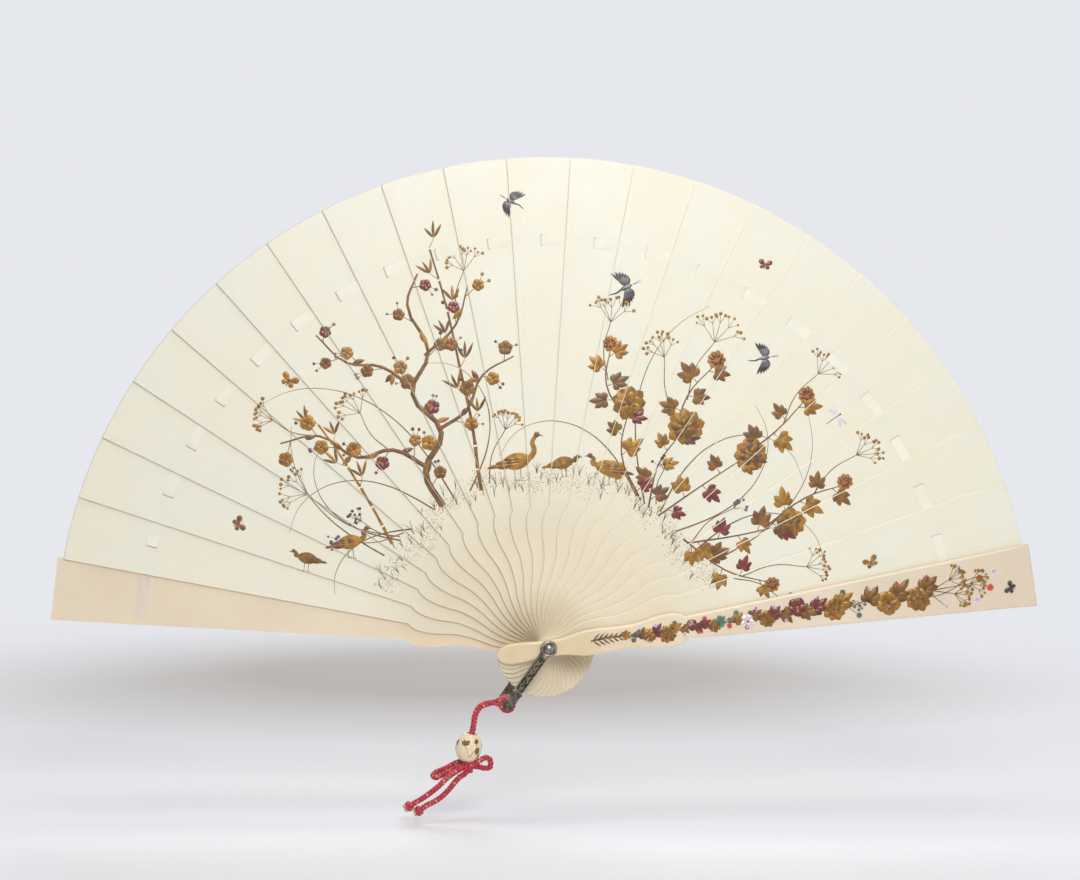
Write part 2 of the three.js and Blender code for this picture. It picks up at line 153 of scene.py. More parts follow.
LEFT_LOOP_ROUTE = [
    (-21.2, 2.2, -31.6), (-24, 3, -31.4), (-26.8, 3.2, -32.5), (-30.4, 3.2, -34.5), (-33.8, 3.3, -35.9),
    (-36, 3.2, -36.9), (-37.4, 1.6, -38.1), (-36.2, -0.1, -39), (-33.8, -0.1, -38.1),
    (-30.2, 0, -36.6), (-26.8, 0, -34.8), (-24.3, 0, -33.9), (-21.4, 0, -33.2),
]
LEFT_TAIL_ROUTE = [
    (-21.2, -2, -33), (-23.2, -3, -34), (-26.4, -3.2, -35.9), (-30.2, -3.2, -38.6), (-34.5, -3.2, -42.8),
    (-38.8, -3.2, -46.3), (-43.1, -3.1, -49.3), (-48, -3, -52.2), (-49.8, -3, -53.2),
]
RIGHT_TAIL_ROUTE = [
    (-21.2, -2.2, -36.8), (-23.6, -2.2, -38.4), (-26, -2.2, -40.8), (-29.4, -2.2, -45),
    (-32.8, -2.2, -48.4), (-36.7, -2.2, -51), (-41, -2.2, -53.2), (-43, -2.2, -54.6), (-44.8, -2.2, -55.7),
]


# Camera

def make_camera():
    """A long lens almost square to the fan, a little to its left."""
    data = bpy.data.cameras.new("camera")
    data.sensor_width = SENSOR_WIDTH
    data.lens = FOCAL_PIXELS / IMAGE_WIDTH * SENSOR_WIDTH
    data.clip_start = 0.05
    data.clip_end = 20
    camera = bpy.data.objects.new("camera", data)
    bpy.context.scene.collection.objects.link(camera)
    turn = (
        Matrix.Rotation(math.radians(CAMERA_AZIMUTH), 4, "Z")
        @ Matrix.Rotation(math.radians(90 - CAMERA_ELEVATION), 4, "X")
        @ Matrix.Rotation(math.radians(CAMERA_ROLL), 4, "Z")
    )
    back_off = Matrix.Translation((0, 0, CAMERA_DISTANCE))
    camera.matrix_world = Matrix.Translation(CAMERA_TARGET) @ turn @ back_off
    bpy.context.scene.camera = camera


make_camera()


# Materials

def srgb(red, green, blue, alpha=1.0):
    """A colour written as the screen shows it, from 0 to 255, as the linear colour that a shader takes."""
    linear = []
    for channel in (red, green, blue):
        share = channel / 255
        linear.append(share / 12.92 if share <= 0.04045 else ((share + 0.055) / 1.055) ** 2.4)
    return (*linear, alpha)


class Nodes:
    """A node tree, with short ways to add and join its nodes."""

    def __init__(self, tree):
        self.tree = tree

    def add(self, kind, inputs=None, **settings):
        """A node with its settings, and its inputs set to values or joined to sockets."""
        node = self.tree.nodes.new(kind)
        for name, value in settings.items():
            setattr(node, name, value)
        for name, value in (inputs or {}).items():
            self.join(value, node.inputs[name])
        return node

    def join(self, value, socket):
        if isinstance(value, bpy.types.NodeSocket):
            self.tree.links.new(value, socket)
        else:
            socket.default_value = value

    def maths(self, operation, *values):
        return self.add("ShaderNodeMath", dict(enumerate(values)), operation=operation).outputs[0]

    def distance(self, place, stretch, shift=(0, 0, 0)):
        """How far a place lies from the origin, once it is stretched and shifted."""
        inputs = {0: place, 1: stretch, 2: shift}
        moved = self.add("ShaderNodeVectorMath", inputs, operation="MULTIPLY_ADD").outputs[0]
        return self.add("ShaderNodeVectorMath", {0: moved}, operation="LENGTH").outputs["Value"]

    def blend_shaders(self, share, first, second, output):
        """Joins a blend of two nodes' shaders to the output node that has this name."""
        inputs = {0: share, 1: first.outputs[0], 2: second.outputs[0]}
        mixed = self.add("ShaderNodeMixShader", inputs).outputs[0]
        self.join(mixed, self.tree.nodes[output].inputs["Surface"])


class Shader(Nodes):
    """A new material with a Principled BSDF."""

    def __init__(self, name, **values):
        self.material = bpy.data.materials.new(name)
        self.material.use_nodes = True
        super().__init__(self.material.node_tree)
        self.surface = self.tree.nodes["Principled BSDF"]
        for socket, value in values.items():
            self.surface.inputs[socket.replace("_", " ")].default_value = value

    def group(self, tree, **inputs):
        """The outputs of a node group."""
        named = {name.replace("_", " "): value for name, value in inputs.items()}
        return self.add("ShaderNodeGroup", named, node_tree=tree).outputs

    def attribute(self, name):
        return self.add("ShaderNodeAttribute", attribute_name=name).outputs["Fac"]

    def mix(self, factor, first, second):
        """A blend of two colours."""
        inputs = {0: factor, 6: first, 7: second}
        return self.add("ShaderNodeMix", inputs, data_type="RGBA").outputs[2]

    def scaled(self, value, from_low, from_high, to_low, to_high):
        """A number moved from one range to another, and kept inside it."""
        inputs = {
            "Value": value, "From Min": from_low, "From Max": from_high,
            "To Min": to_low, "To Max": to_high,
        }
        return self.add("ShaderNodeMapRange", inputs).outputs["Result"]

    def tinted(self, colour, tint, share, value, low, high):
        """A colour that turns towards a tint, up to a share, as a value rises from low to high."""
        return self.mix(self.scaled(value, low, high, 0, share), colour, srgb(*tint))

    def finish(self, colour, height, strength, depth, roughness=None):
        """Joins the surface's colour and bump, and a roughness that changes over it."""
        self.join(colour, self.surface.inputs["Base Color"])
        if roughness is not None:
            self.join(roughness, self.surface.inputs["Roughness"])
        bump = self.add("ShaderNodeBump", {"Strength": strength, "Distance": depth, "Height": height})
        self.join(bump.outputs["Normal"], self.surface.inputs["Normal"])
        return self.material


def new_group(name, values):
    """An empty node group that takes numbers, and the sockets that bring them."""
    nodes = Nodes(bpy.data.node_groups.new(name, "ShaderNodeTree"))
    for socket, value in values.items():
        made = nodes.tree.interface.new_socket(socket, in_out="INPUT", socket_type="NodeSocketFloat")
        made.default_value = value
    return nodes, nodes.add("NodeGroupInput").outputs


def close_group(nodes, results):
    """Gives a node group its outputs."""
    for socket in results:
        nodes.tree.interface.new_socket(socket, in_out="OUTPUT", socket_type="NodeSocketFloat")
    nodes.add("NodeGroupOutput", results)
    return nodes.tree


def mottle_group():
    """A slow cloudiness and a fine speck, and the height that goes with them."""
    nodes, given = new_group("mottle", {"Cloud Scale": 30.0, "Speck Scale": 900.0})
    place = nodes.add("ShaderNodeTexCoord").outputs["Object"]
    inputs = {"Vector": place, "Scale": given["Cloud Scale"], "Detail": 3}
    cloud = nodes.add("ShaderNodeTexNoise", inputs).outputs["Fac"]
    inputs = {"Vector": place, "Scale": given["Speck Scale"], "Detail": 2}
    speck = nodes.add("ShaderNodeTexNoise", inputs).outputs["Fac"]
    height = nodes.maths("MULTIPLY_ADD", cloud, 0.35, speck)
    return close_group(nodes, {"Cloud": cloud, "Speck": speck, "Height": height})


def grain_group():
    """Fine lines that run along a leaf, from its own UV map, whose U runs along it."""
    nodes, given = new_group("leaf grain", {"Lines": 60.0, "Stretch": 1.5})
    place = nodes.add("ShaderNodeUVMap", uv_map="leaf").outputs["UV"]
    apart = nodes.add("ShaderNodeSeparateXYZ", {0: place}).outputs
    along = nodes.maths("MULTIPLY", apart["X"], given["Stretch"])
    across = nodes.maths("MULTIPLY", apart["Y"], given["Lines"])
    joined = nodes.add("ShaderNodeCombineXYZ", {"X": along, "Y": across}).outputs[0]
    inputs = {"Vector": joined, "Scale": 1, "Detail": 4, "Distortion": 0.3}
    return close_group(nodes, {"Grain": nodes.add("ShaderNodeTexNoise", inputs).outputs["Fac"]})


MOTTLE = mottle_group()
GRAIN = grain_group()

HEAD_TO_NECK = (0.018, 0.032)
NECK_TO_BLADE = (0.06, 0.105)
CLOUDED_IVORY = (243, 231, 205)
GRAINED_IVORY = (226, 208, 170)
HIGHLIGHT_AND_WEAR_IVORY = (255, 240, 204)
BROWN_AND_SHADE_IVORY = (176, 124, 74)


def ivory_material(name, head, neck, blade, roughness):
    """Polished ivory colour, warmer towards the rivet, with grain and clouds; side walls painted pale, as a
    highlight and on the guards' rims, and brown, as shade and on the sticks' heads.
    """
    shader = Shader(
        name, Coat_Weight=0.12, Coat_Roughness=0.25, Specular_IOR_Level=0.45, Subsurface_Weight=0.25,
        Subsurface_Radius=(1.0, 0.8, 0.55), Subsurface_Scale=0.0012,
    )
    far = shader.distance(shader.add("ShaderNodeTexCoord").outputs["Object"], (1, 0, 1))
    cloud = shader.group(MOTTLE, Cloud_Scale=22.0, Speck_Scale=700.0)["Cloud"]
    grain = shader.group(GRAIN, Lines=90.0, Stretch=2.5)["Grain"]
    colour = shader.tinted(srgb(*head), neck, 1, far, *HEAD_TO_NECK)
    colour = shader.tinted(colour, blade, 1, far, *NECK_TO_BLADE)
    colour = shader.tinted(colour, CLOUDED_IVORY, 0.45, cloud, 0.35, 0.7)
    colour = shader.tinted(colour, GRAINED_IVORY, 0.09, grain, 0.42, 0.72)
    # Pale walls: a painted highlight on the stick walls that face up, and a paler rim on the guards. Brown
    # walls: painted shade on the stick walls that face down, and brown at the sticks' heads.
    colour = shader.tinted(colour, HIGHLIGHT_AND_WEAR_IVORY, 0.8, shader.attribute("edge"), 0.2, 1)
    colour = shader.tinted(colour, BROWN_AND_SHADE_IVORY, 0.62, shader.attribute("brown_and_painted_shade"), 0.2, 1)
    rough = shader.scaled(cloud, 0.3, 0.7, roughness - 0.05, roughness + 0.08)
    return shader.finish(colour, grain, 0.06, 0.00005, rough)


def lacquer_material(name, low, high, roughness, metallic, coat):
    """Raised lacquer sprinkled with powder: two tones that wander, and a fine grain in the surface."""
    shader = Shader(name, Metallic=metallic, Coat_Weight=coat, Coat_Roughness=0.2)
    mottle = shader.group(MOTTLE, Cloud_Scale=260.0, Speck_Scale=3200.0)
    colour = shader.tinted(srgb(*low), high, 1, mottle["Cloud"], 0.36, 0.66)
    colour = shader.tinted(colour, high, 0.35, mottle["Speck"], 0.45, 0.75)
    rough = shader.scaled(mottle["Speck"], 0.3, 0.7, roughness - 0.08, roughness + 0.1)
    return shader.finish(colour, mottle["Height"], 0.35, 0.00004, rough)


def silver_material(name, dark, light, roughness):
    """Old silver, dark where it has tarnished."""
    shader = Shader(name, Metallic=0.9)
    mottle = shader.group(MOTTLE, Cloud_Scale=420.0, Speck_Scale=2600.0)
    colour = shader.tinted(srgb(*dark), light, 1, mottle["Cloud"], 0.38, 0.64)
    rough = shader.scaled(mottle["Speck"], 0.3, 0.7, roughness - 0.08, roughness + 0.12)
    return shader.finish(colour, mottle["Height"], 0.4, 0.00008, rough)


def silk_ribbon_material(name, low, high):
    """Thin pale silk with a fine ribbed weave."""
    shader = Shader(name, Roughness=0.55, Sheen_Weight=0.1, Sheen_Roughness=0.4)
    mottle = shader.group(MOTTLE, Cloud_Scale=90.0, Speck_Scale=4000.0)
    colour = shader.tinted(srgb(*low), high, 1, mottle["Cloud"], 0.35, 0.65)
    return shader.finish(colour, mottle["Speck"], 0.5, 0.00004)


def cord_material(name, groove_shade, silk, fleck):
    """Braided silk: darker in the grooves between strands, a painted shade, with strands of a paler thread.
    """
    shader = Shader(name, Roughness=0.62, Sheen_Weight=0.35, Sheen_Roughness=0.35)
    crown = shader.scaled(shader.attribute("crown"), 0.2, 0.75, 0, 1)
    thread = shader.group(MOTTLE, Cloud_Scale=700.0, Speck_Scale=5200.0)
    strand = shader.mix(shader.attribute("fleck"), srgb(*silk), srgb(*fleck))
    # The groove colour between the raised crossings is painted shade.
    colour = shader.mix(crown, srgb(*groove_shade), strand)
    colour = shader.tinted(colour, fleck, 0.12, thread["Cloud"], 0.4, 0.65)
    return shader.finish(colour, thread["Speck"], 0.5, 0.00006)


IVORY = ivory_material("ivory", (214, 199, 168), (234, 222, 196), (239, 237, 221), 0.36)
AGED_IVORY = ivory_material("aged_ivory", (218, 194, 146), (231, 210, 177), (230, 213, 189), 0.32)
BEAD_IVORY = ivory_material("bead_ivory", (236, 213, 176), (240, 218, 184), (240, 218, 184), 0.3)
RIBBON_SILK = silk_ribbon_material("ribbon_silk", (240, 236, 216), (247, 243, 226))
GLUED_SILK = silk_ribbon_material("glued_silk", (222, 208, 196), (232, 216, 200))
CORD_SILK = cord_material("cord_silk", (84, 0, 20), (208, 28, 72), (240, 160, 130))
FRAY_SILK = cord_material("fray_silk", (176, 84, 66), (222, 144, 112), (236, 192, 156))
TARNISHED = silver_material("tarnished_silver", (78, 72, 62), (132, 124, 108), 0.42)
BLACKENED = silver_material("blackened_silver", (40, 36, 31), (78, 72, 62), 0.5)
WORN_SILVER = silver_material("worn_silver", (112, 106, 94), (172, 164, 148), 0.36)
BRIGHT_SILVER = silver_material("bright_silver", (92, 90, 86), (172, 169, 164), 0.26)
LACQUER = {
    paint: lacquer_material(f"{paint}_{kind}", low, high, *surface)
    for paint, kind, low, high, *surface in (
        ("gold", "lacquer", (124, 84, 24), (172, 127, 53), 0.42, 0.35, 0.15),
        ("old_gold", "lacquer", (98, 65, 24), (142, 101, 44), 0.46, 0.25, 0.15),
        ("brown", "lacquer", (84, 54, 28), (124, 86, 48), 0.42, 0.15, 0.3),
        ("red", "lacquer", (84, 26, 26), (132, 42, 36), 0.36, 0.05, 0.4),
        ("ink", "lacquer", (30, 27, 28), (58, 52, 52), 0.36, 0.05, 0.4),
        ("grey", "lacquer", (72, 68, 72), (116, 110, 112), 0.34, 0.35, 0.3),
        ("pearl", "inlay", (214, 202, 212), (240, 236, 240), 0.22, 0.1, 0.6),
        ("coral", "inlay", (206, 74, 52), (232, 104, 74), 0.34, 0.0, 0.4),
        ("green", "inlay", (52, 104, 90), (92, 148, 126), 0.34, 0.0, 0.4),
    )
}
PAINTS = list(LACQUER)


# Shapes that several pieces share

def plate(splines, thick, edge_round, resolution=12, bevel_steps=1):
    """A flat plate lying in XY with rounded edges. A spline's knots are points, or points with handles."""
    data = bpy.data.curves.new("outline", "CURVE")
    data.dimensions = "2D"
    data.fill_mode = "BOTH"
    data.resolution_u = resolution
    data.extrude = thick / 2 - edge_round
    data.bevel_depth = edge_round
    data.offset = -edge_round
    data.bevel_resolution = bevel_steps
    for knots in splines:
        curved = len(knots[0]) == 3
        spline = data.splines.new("BEZIER" if curved else "POLY")
        points = spline.bezier_points if curved else spline.points
        points.add(len(knots) - 1)
        for point, knot in zip(points, knots):
            if curved:
                place, arriving, leaving = knot
                point.handle_left_type = point.handle_right_type = "FREE"
                point.co = (*place, 0)
                point.handle_left = (*arriving, 0)
                point.handle_right = (*leaving, 0)
            else:
                point.co = (*knot, 0, 1)
        spline.use_cyclic_u = True
    return solid_from_curve(data)


def solid_from_curve(data):
    """The closed mesh of a curve, its doubled points merged, as a bmesh."""
    carrier = bpy.data.objects.new("outline", data)
    mesh = bpy.data.meshes.new_from_object(carrier)
    bm = bmesh.new()
    bm.from_mesh(mesh)
    bpy.data.meshes.remove(mesh)
    bpy.data.curves.remove(data)
    bmesh.ops.remove_doubles(bm, verts=bm.verts, dist=1e-5)
    return bm


def away(x, y, heading, reach):
    """The point at a reach from (x, y), towards a heading in degrees."""
    turn = math.radians(heading)
    return x + reach * math.cos(turn), y + reach * math.sin(turn)


def ring_points(radius, count):
    return [away(0, 0, 360 * i / count, radius) for i in range(count)]


def only(kind, items):
    """Those of a bmesh operator's results that are of one kind."""
    return [item for item in items if isinstance(item, kind)]


def fill_open_edges(bm):
    bmesh.ops.holes_fill(bm, edges=[edge for edge in bm.edges if edge.is_boundary], sides=0)


def spun(profile, steps):
    """A closed solid turned about Z from (radius, height) points that start and end on the axis or meet."""
    bm = bmesh.new()
    verts = [bm.verts.new((radius, 0, height)) for radius, height in profile]
    edges = [bm.edges.new(pair) for pair in zip(verts, verts[1:])]
    bmesh.ops.spin(
        bm, geom=verts + edges, cent=(0, 0, 0), axis=(0, 0, 1), angle=2 * math.pi, steps=steps,
        use_merge=True,
    )
    bmesh.ops.remove_doubles(bm, verts=bm.verts, dist=1e-5)
    bmesh.ops.recalc_face_normals(bm, faces=bm.faces)
    return bm


def move(bm, matrix):
    bmesh.ops.transform(bm, matrix=matrix, verts=bm.verts)


def append(target, source, matrix=None, material=None):
    """Adds a copy of one bmesh to another, moved by a matrix, with the number of its material in the
    piece, and frees the source."""
    mesh = bpy.data.meshes.new("part")
    source.to_mesh(mesh)
    source.free()
    if matrix is not None:
        mesh.transform(matrix)
    if material is not None:
        mesh.polygons.foreach_set("material_index", [material] * len(mesh.polygons))
    target.from_mesh(mesh)
    bpy.data.meshes.remove(mesh)


def piece(name, bm, materials, body, replaced=(), smooth=None):
    """A finished piece in metres, riding on its body. smooth is the angle up to which faces blend."""
    move(bm, TO_METRES)
    mesh = bpy.data.meshes.new(name)
    bm.to_mesh(mesh)
    bm.free()
    for material in materials:
        mesh.materials.append(material)
    if smooth is not None:
        mesh.shade_smooth()
        mesh.set_sharp_from_angle(angle=math.radians(smooth))
    obj = bpy.data.objects.new(name, mesh)
    bpy.context.scene.collection.objects.link(obj)
    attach(obj, body)
    if replaced:
        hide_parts(*replaced)
    return obj


def leaf_angle(index):
    return BACK_GUARD_ANGLE - LEAF_STEP * index


def leaf_body(index):
    if index == 0:
        return "back_guard"
    if index == LAST_LEAF:
        return "front_guard"
    return f"stick_{index:02d}"


def leaf_faces(index):
    """Front and back of a leaf along Y, in millimetres, from the CAD frame."""
    low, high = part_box(leaf_body(index))
    return low.y / MM, high.y / MM


def on_leaf(angle, y):
    """Turns a plate drawn in XY with its front at +Z to its leaf's angle, with its middle at y."""
    return (
        Matrix.Translation((0, y, 0))
        @ Matrix.Rotation(-math.radians(angle), 4, "Y")
        @ Matrix.Rotation(math.pi / 2, 4, "X")
    )


# Sticks and guards

QUARTER_PULL = 0.5523
# Blade walls take brown painted shade on the sticks of the left half, whose walls face down, fading out over
# a run of sticks to the end index below; beyond it they take a pale painted highlight.
SHADE_END_LEAF = 14
SHADE_FADE_LEAVES = 6
HEAD_WALL_BROWN = 0.75
UV_LENGTH = 100
UV_SHIFT = 0.37
SIDE_WALL_NORMAL = 0.9
# How strongly the sticks' walls take the painted highlight and shade, and the guards' walls their paler rim.
STICK_WALL_LIGHT_AND_SHADE = 1.0
GUARD_RIM_WEAR = 0.35


def half_outline(leaf):
    """One long side of a leaf, from its tip's corner to the top of its head, as knots with handles."""
    stations = [
        (SHOULDER_R, leaf["shoulder"]), (BULGE_R, leaf["bulge"]), (WAIST_R, leaf["waist"]),
        (SWELL_R, leaf["swell"]), (PIVOT_WAIST_R, leaf["pivot"]),
        (leaf["head_round"] - HEAD_REACH, leaf["head"]),
    ]
    reach, tip = leaf["reach"], leaf["tip"]
    sweep = math.asin(tip / reach) if leaf["round_tip"] else 0
    corner = (reach * math.cos(sweep), tip)
    pull = 4 / 3 * math.tan(sweep / 2) * reach
    bow = (corner[0] + pull * math.sin(sweep), tip - pull * math.cos(sweep))
    if not leaf["round_tip"]:
        bow = (reach, tip / 3)
    towards = (corner[0] * 2 / 3 + SHOULDER_R / 3, tip * 2 / 3 + leaf["shoulder"] / 3)
    back = (corner[0] / 3 + SHOULDER_R * 2 / 3, tip / 3 + leaf["shoulder"] * 2 / 3)
    rise = leaf["bulge"] - leaf["shoulder"]
    knots = [[corner, bow, towards], [stations[0], back, None]]
    knots[1][2] = (SHOULDER_R - 0.2 * SHOULDER_RUN, leaf["shoulder"] + 0.6 * rise)
    knots.append([stations[1], (BULGE_R + 0.5 * SHOULDER_RUN, leaf["bulge"]), None])
    for before, after in zip(stations[1:], stations[2:]):
        middle = (before[0] + after[0]) / 2
        knots[-1][2] = (middle, before[1])
        knots.append([after, (middle, after[1]), None])
    head, half = stations[-1]
    pull = QUARTER_PULL * half
    knots[-1][2] = (head - QUARTER_PULL * leaf["head_round"], half)
    knots.append([(-HEAD_REACH, 0), (-HEAD_REACH, pull), (-HEAD_REACH, -pull)])
    return knots


def leaf_outline(leaf):
    side = half_outline(leaf)
    mirrored = [
        [(x, -y) for x, y in (place, leaving, arriving)]
        for place, arriving, leaving in reversed(side[:-1])
    ]
    return side + mirrored


def brown_wall_share(leaf, index, x):
    """How brown a side wall is, from 0 to 1: the sticks' heads, and, as painted shade, the walls of their
    blades on the left half, which face down.
    """
    if leaf is GUARD:
        return 0.0
    if x < 0:
        return HEAD_WALL_BROWN
    return min(1.0, max(0.0, (SHADE_END_LEAF - index) / SHADE_FADE_LEAVES))


def add_leaf_layers(bm, leaf, index, rim):
    """The leaf's UV map, and masks of its side walls: pale, a painted highlight where they face up and a
    paler rim on the guards, and brown, painted shade where they face down and brown at the sticks' heads.
    """
    uv = bm.loops.layers.uv.new("leaf")
    edge = bm.verts.layers.float.new("edge")
    brown_and_painted_shade = bm.verts.layers.float.new("brown_and_painted_shade")
    for vert in bm.verts:
        vert[edge] = 0.0
        vert[brown_and_painted_shade] = 0.0
    for face in bm.faces:
        across = abs(face.normal.z) < SIDE_WALL_NORMAL
        for loop in face.loops:
            x, y, _ = loop.vert.co
            loop[uv].uv = (x / UV_LENGTH, y / UV_LENGTH + index * UV_SHIFT)
            if across:
                brown = brown_wall_share(leaf, index, x)
                loop.vert[edge] = rim * (1 - brown)
                loop.vert[brown_and_painted_shade] = rim * brown


def stick_solid(index):
    """A stick with its rivet hole and the slot for the ribbon."""
    half, side = SLOT_LENGTH / 2, SLOT_WIDTH / 2
    corners = ((-half, -side), (-half, side), (half, side), (half, -side))
    slot = [(SLOT_CENTRE_R + x, y) for x, y in corners]
    outlines = [leaf_outline(STICK), ring_points(HOLE_R, 24), slot]
    bm = plate(outlines, STICK_THICK, STICK_EDGE_ROUND)
    add_leaf_layers(bm, STICK, index, STICK_WALL_LIGHT_AND_SHADE)
    return bm


def guard_solid(index):
    """Rounded on its outer edge only: a thicker rounded plate, flattened and cut at the inner face."""
    flatter = GUARD_EDGE_DROP / GUARD_EDGE_ROUND
    thick = GUARD_THICK / flatter + 2 * GUARD_EDGE_ROUND
    bm = plate([leaf_outline(GUARD), ring_points(HOLE_R, 24)], thick, GUARD_EDGE_ROUND, 16, 3)
    bmesh.ops.scale(bm, verts=bm.verts, vec=(1, 1, flatter))
    move(bm, Matrix.Translation((0, 0, -GUARD_EDGE_DROP)))
    cut = bmesh.ops.bisect_plane(
        bm, geom=bm.verts[:] + bm.edges[:] + bm.faces[:], plane_co=(0, 0, -GUARD_THICK / 2),
        plane_no=(0, 0, -1), clear_outer=True,
    )
    rim = only(bmesh.types.BMEdge, cut["geom_cut"])
    bmesh.ops.triangle_fill(bm, edges=rim, use_beauty=True, normal=(0, 0, -1))
    bmesh.ops.recalc_face_normals(bm, faces=bm.faces)
    add_leaf_layers(bm, GUARD, index, GUARD_RIM_WEAR)
    return bm


def make_leaves():
    for index in range(LAST_LEAF + 1):
        low, high = leaf_faces(index)
        body = leaf_body(index)
        guard = index in (0, LAST_LEAF)
        bm = guard_solid(index) if guard else stick_solid(index)
        if index == 0:
            move(bm, Matrix.Rotation(math.pi, 4, "X"))
        move(bm, on_leaf(leaf_angle(index), (low + high) / 2))
        material, slot = (AGED_IVORY, "aged_ivory") if guard else (IVORY, "ivory")
        piece(f"{body}_plate", bm, [material], body, [body])


def dress_ribbons():
    """The ribbon's links keep their CAD shape. Where it's glued to a guard, the guard shows through."""
    for index in range(LAST_LEAF + 1):
        silk = GLUED_SILK if index in (0, LAST_LEAF) else RIBBON_SILK
        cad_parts[f"ribbon_{index:02d}"].material_slots[0].material = silk


make_leaves()
dress_ribbons()


# Cords

def smooth_route(route, per_span=14):
    """Points along a centripetal Catmull-Rom curve through the route, as the CAD solids follow it."""
    points = [Vector(p) for p in route]
    points = [2 * points[0] - points[1], *points, 2 * points[-1] - points[-2]]
    line = []
    for a, b, c, d in zip(points, points[1:], points[2:], points[3:]):
        times = [0.0]
        for before, after in ((a, b), (b, c), (c, d)):
            times.append(times[-1] + max((after - before).length, 1e-6) ** 0.5)
        for i in range(per_span):
            t = times[1] + (times[2] - times[1]) * i / per_span
            line.append(catmull_rom(a, b, c, d, times, t))
    line.append(points[-2])
    return line


def catmull_rom(a, b, c, d, times, t):
    t0, t1, t2, t3 = times
    ab = a.lerp(b, (t - t0) / (t1 - t0))
    bc = b.lerp(c, (t - t1) / (t2 - t1))
    cd = c.lerp(d, (t - t2) / (t3 - t2))
    abc = ab.lerp(bc, (t - t0) / (t2 - t0))
    bcd = bc.lerp(cd, (t - t1) / (t3 - t1))
    return abc.lerp(bcd, (t - t1) / (t2 - t1))


class Line:
    """A smooth line with a frame at each distance along it."""

    def __init__(self, points):
        self.points = points
        self.lengths = [0.0]
        for before, after in zip(points, points[1:]):
            self.lengths.append(self.lengths[-1] + (after - before).length)
        self.total = self.lengths[-1]
        self.tangents = []
        for i in range(len(points)):
            low, high = max(i - 1, 0), min(i + 1, len(points) - 1)
            self.tangents.append((points[high] - points[low]).normalized())
        side = self.tangents[0].orthogonal().normalized()
        self.sides = []
        for tangent in self.tangents:
            side = (side - tangent * side.dot(tangent)).normalized()
            self.sides.append(side)

    def at(self, distance):
        """Place, side and up vectors at a distance."""
        low, high = 0, len(self.lengths) - 1
        while high - low > 1:
            middle = (low + high) // 2
            if self.lengths[middle] <= distance:
                low = middle
            else:
                high = middle
        span = max(self.lengths[high] - self.lengths[low], 1e-9)
        share = (distance - self.lengths[low]) / span
        tangent = self.tangents[low].lerp(self.tangents[high], share).normalized()
        side = self.sides[low].lerp(self.sides[high], share)
        side = (side - tangent * side.dot(tangent)).normalized()
        return self.points[low].lerp(self.points[high], share), side, tangent.cross(side)

    def flat_at(self, distance):
        """Place, and heading in degrees, at a distance along a line that lies flat."""
        place = self.at(distance)[0]
        ahead = self.at(min(distance + 1, self.total))[0]
        return (place.x, place.y), math.degrees(math.atan2(ahead.y - place.y, ahead.x - place.x))


def flat_line(points, per_span=6):
    return Line(smooth_route([(x, y, 0) for x, y in points], per_span))


BRAID_STRANDS = 3
BRAID_ADVANCE = 1.9
BRAID_CROWN = 1.12
BRAID_DEPTH = 0.26
BRAID_FLECKS = (0, 0, 0, 0, 0, 0.15, 0.35, 0.8)
ROUND_STEPS = 20
RING_STEP = 0.22


def braided_tube(line, diameter, seed):
    """A braided cord: a fine tube bent along the line, with each crossing of two strands raised, and the
    cord's diameter as its mean."""
    rings = max(8, round(line.total / RING_STEP))
    bm = bmesh.new()
    bmesh.ops.create_grid(bm, x_segments=rings, y_segments=ROUND_STEPS, size=0.5)
    crown_layer = bm.verts.layers.float.new("crown")
    fleck_layer = bm.verts.layers.float.new("fleck")
    flecks = {}
    rng = random.Random(seed)
    for vert in bm.verts:
        distance = (vert.co.x + 0.5) * line.total
        turn = vert.co.y + 0.5
        first = BRAID_STRANDS * turn + distance / BRAID_ADVANCE
        second = BRAID_STRANDS * turn - distance / BRAID_ADVANCE
        cell = (
            math.floor(first) - math.floor(second),
            (math.floor(first) + math.floor(second)) % (2 * BRAID_STRANDS),
        )
        hump = math.sin(math.pi * (first % 1)) * math.sin(math.pi * (second % 1))
        crown = max(hump, 0.0) ** 0.5
        if cell not in flecks:
            flecks[cell] = rng.choice(BRAID_FLECKS)
        vert[crown_layer] = crown
        vert[fleck_layer] = flecks[cell]
        place, side, up = line.at(distance)
        radius = diameter / 2 * (BRAID_CROWN - BRAID_DEPTH * (1 - crown))
        angle = 2 * math.pi * turn
        vert.co = place + radius * (math.cos(angle) * side + math.sin(angle) * up)
    bmesh.ops.remove_doubles(bm, verts=bm.verts, dist=1e-4)
    fill_open_edges(bm)
    bmesh.ops.recalc_face_normals(bm, faces=bm.faces)
    return bm


def tassel_point(point):
    return Vector(point) + TASSEL_ORIGIN


def tassel_route(*routes):
    return Line(smooth_route([tassel_point(p) for route in routes for p in route]))


def cord_piece(name, bm, replaced, materials=(CORD_SILK,)):
    return piece(name, bm, materials, "tassel", replaced, smooth=60)


def declared_cord(name, line, replaced, seed):
    """One free cord that ends in the knot, riding on the tassel's body."""
    obj = cord_piece(name, braided_tube(line, CORD_DIAMETER, seed), replaced)


def coil(start, along, first, second, turns, steps, begin=0.0):
    """A line wound round an axis that runs along from start, between two directions across it."""
    points = []
    for i in range(steps + 1):
        share = i / steps
        turn = 2 * math.pi * turns * share + begin
        points.append(start + along * share + first * math.cos(turn) + second * math.sin(turn))
    return Line(points)


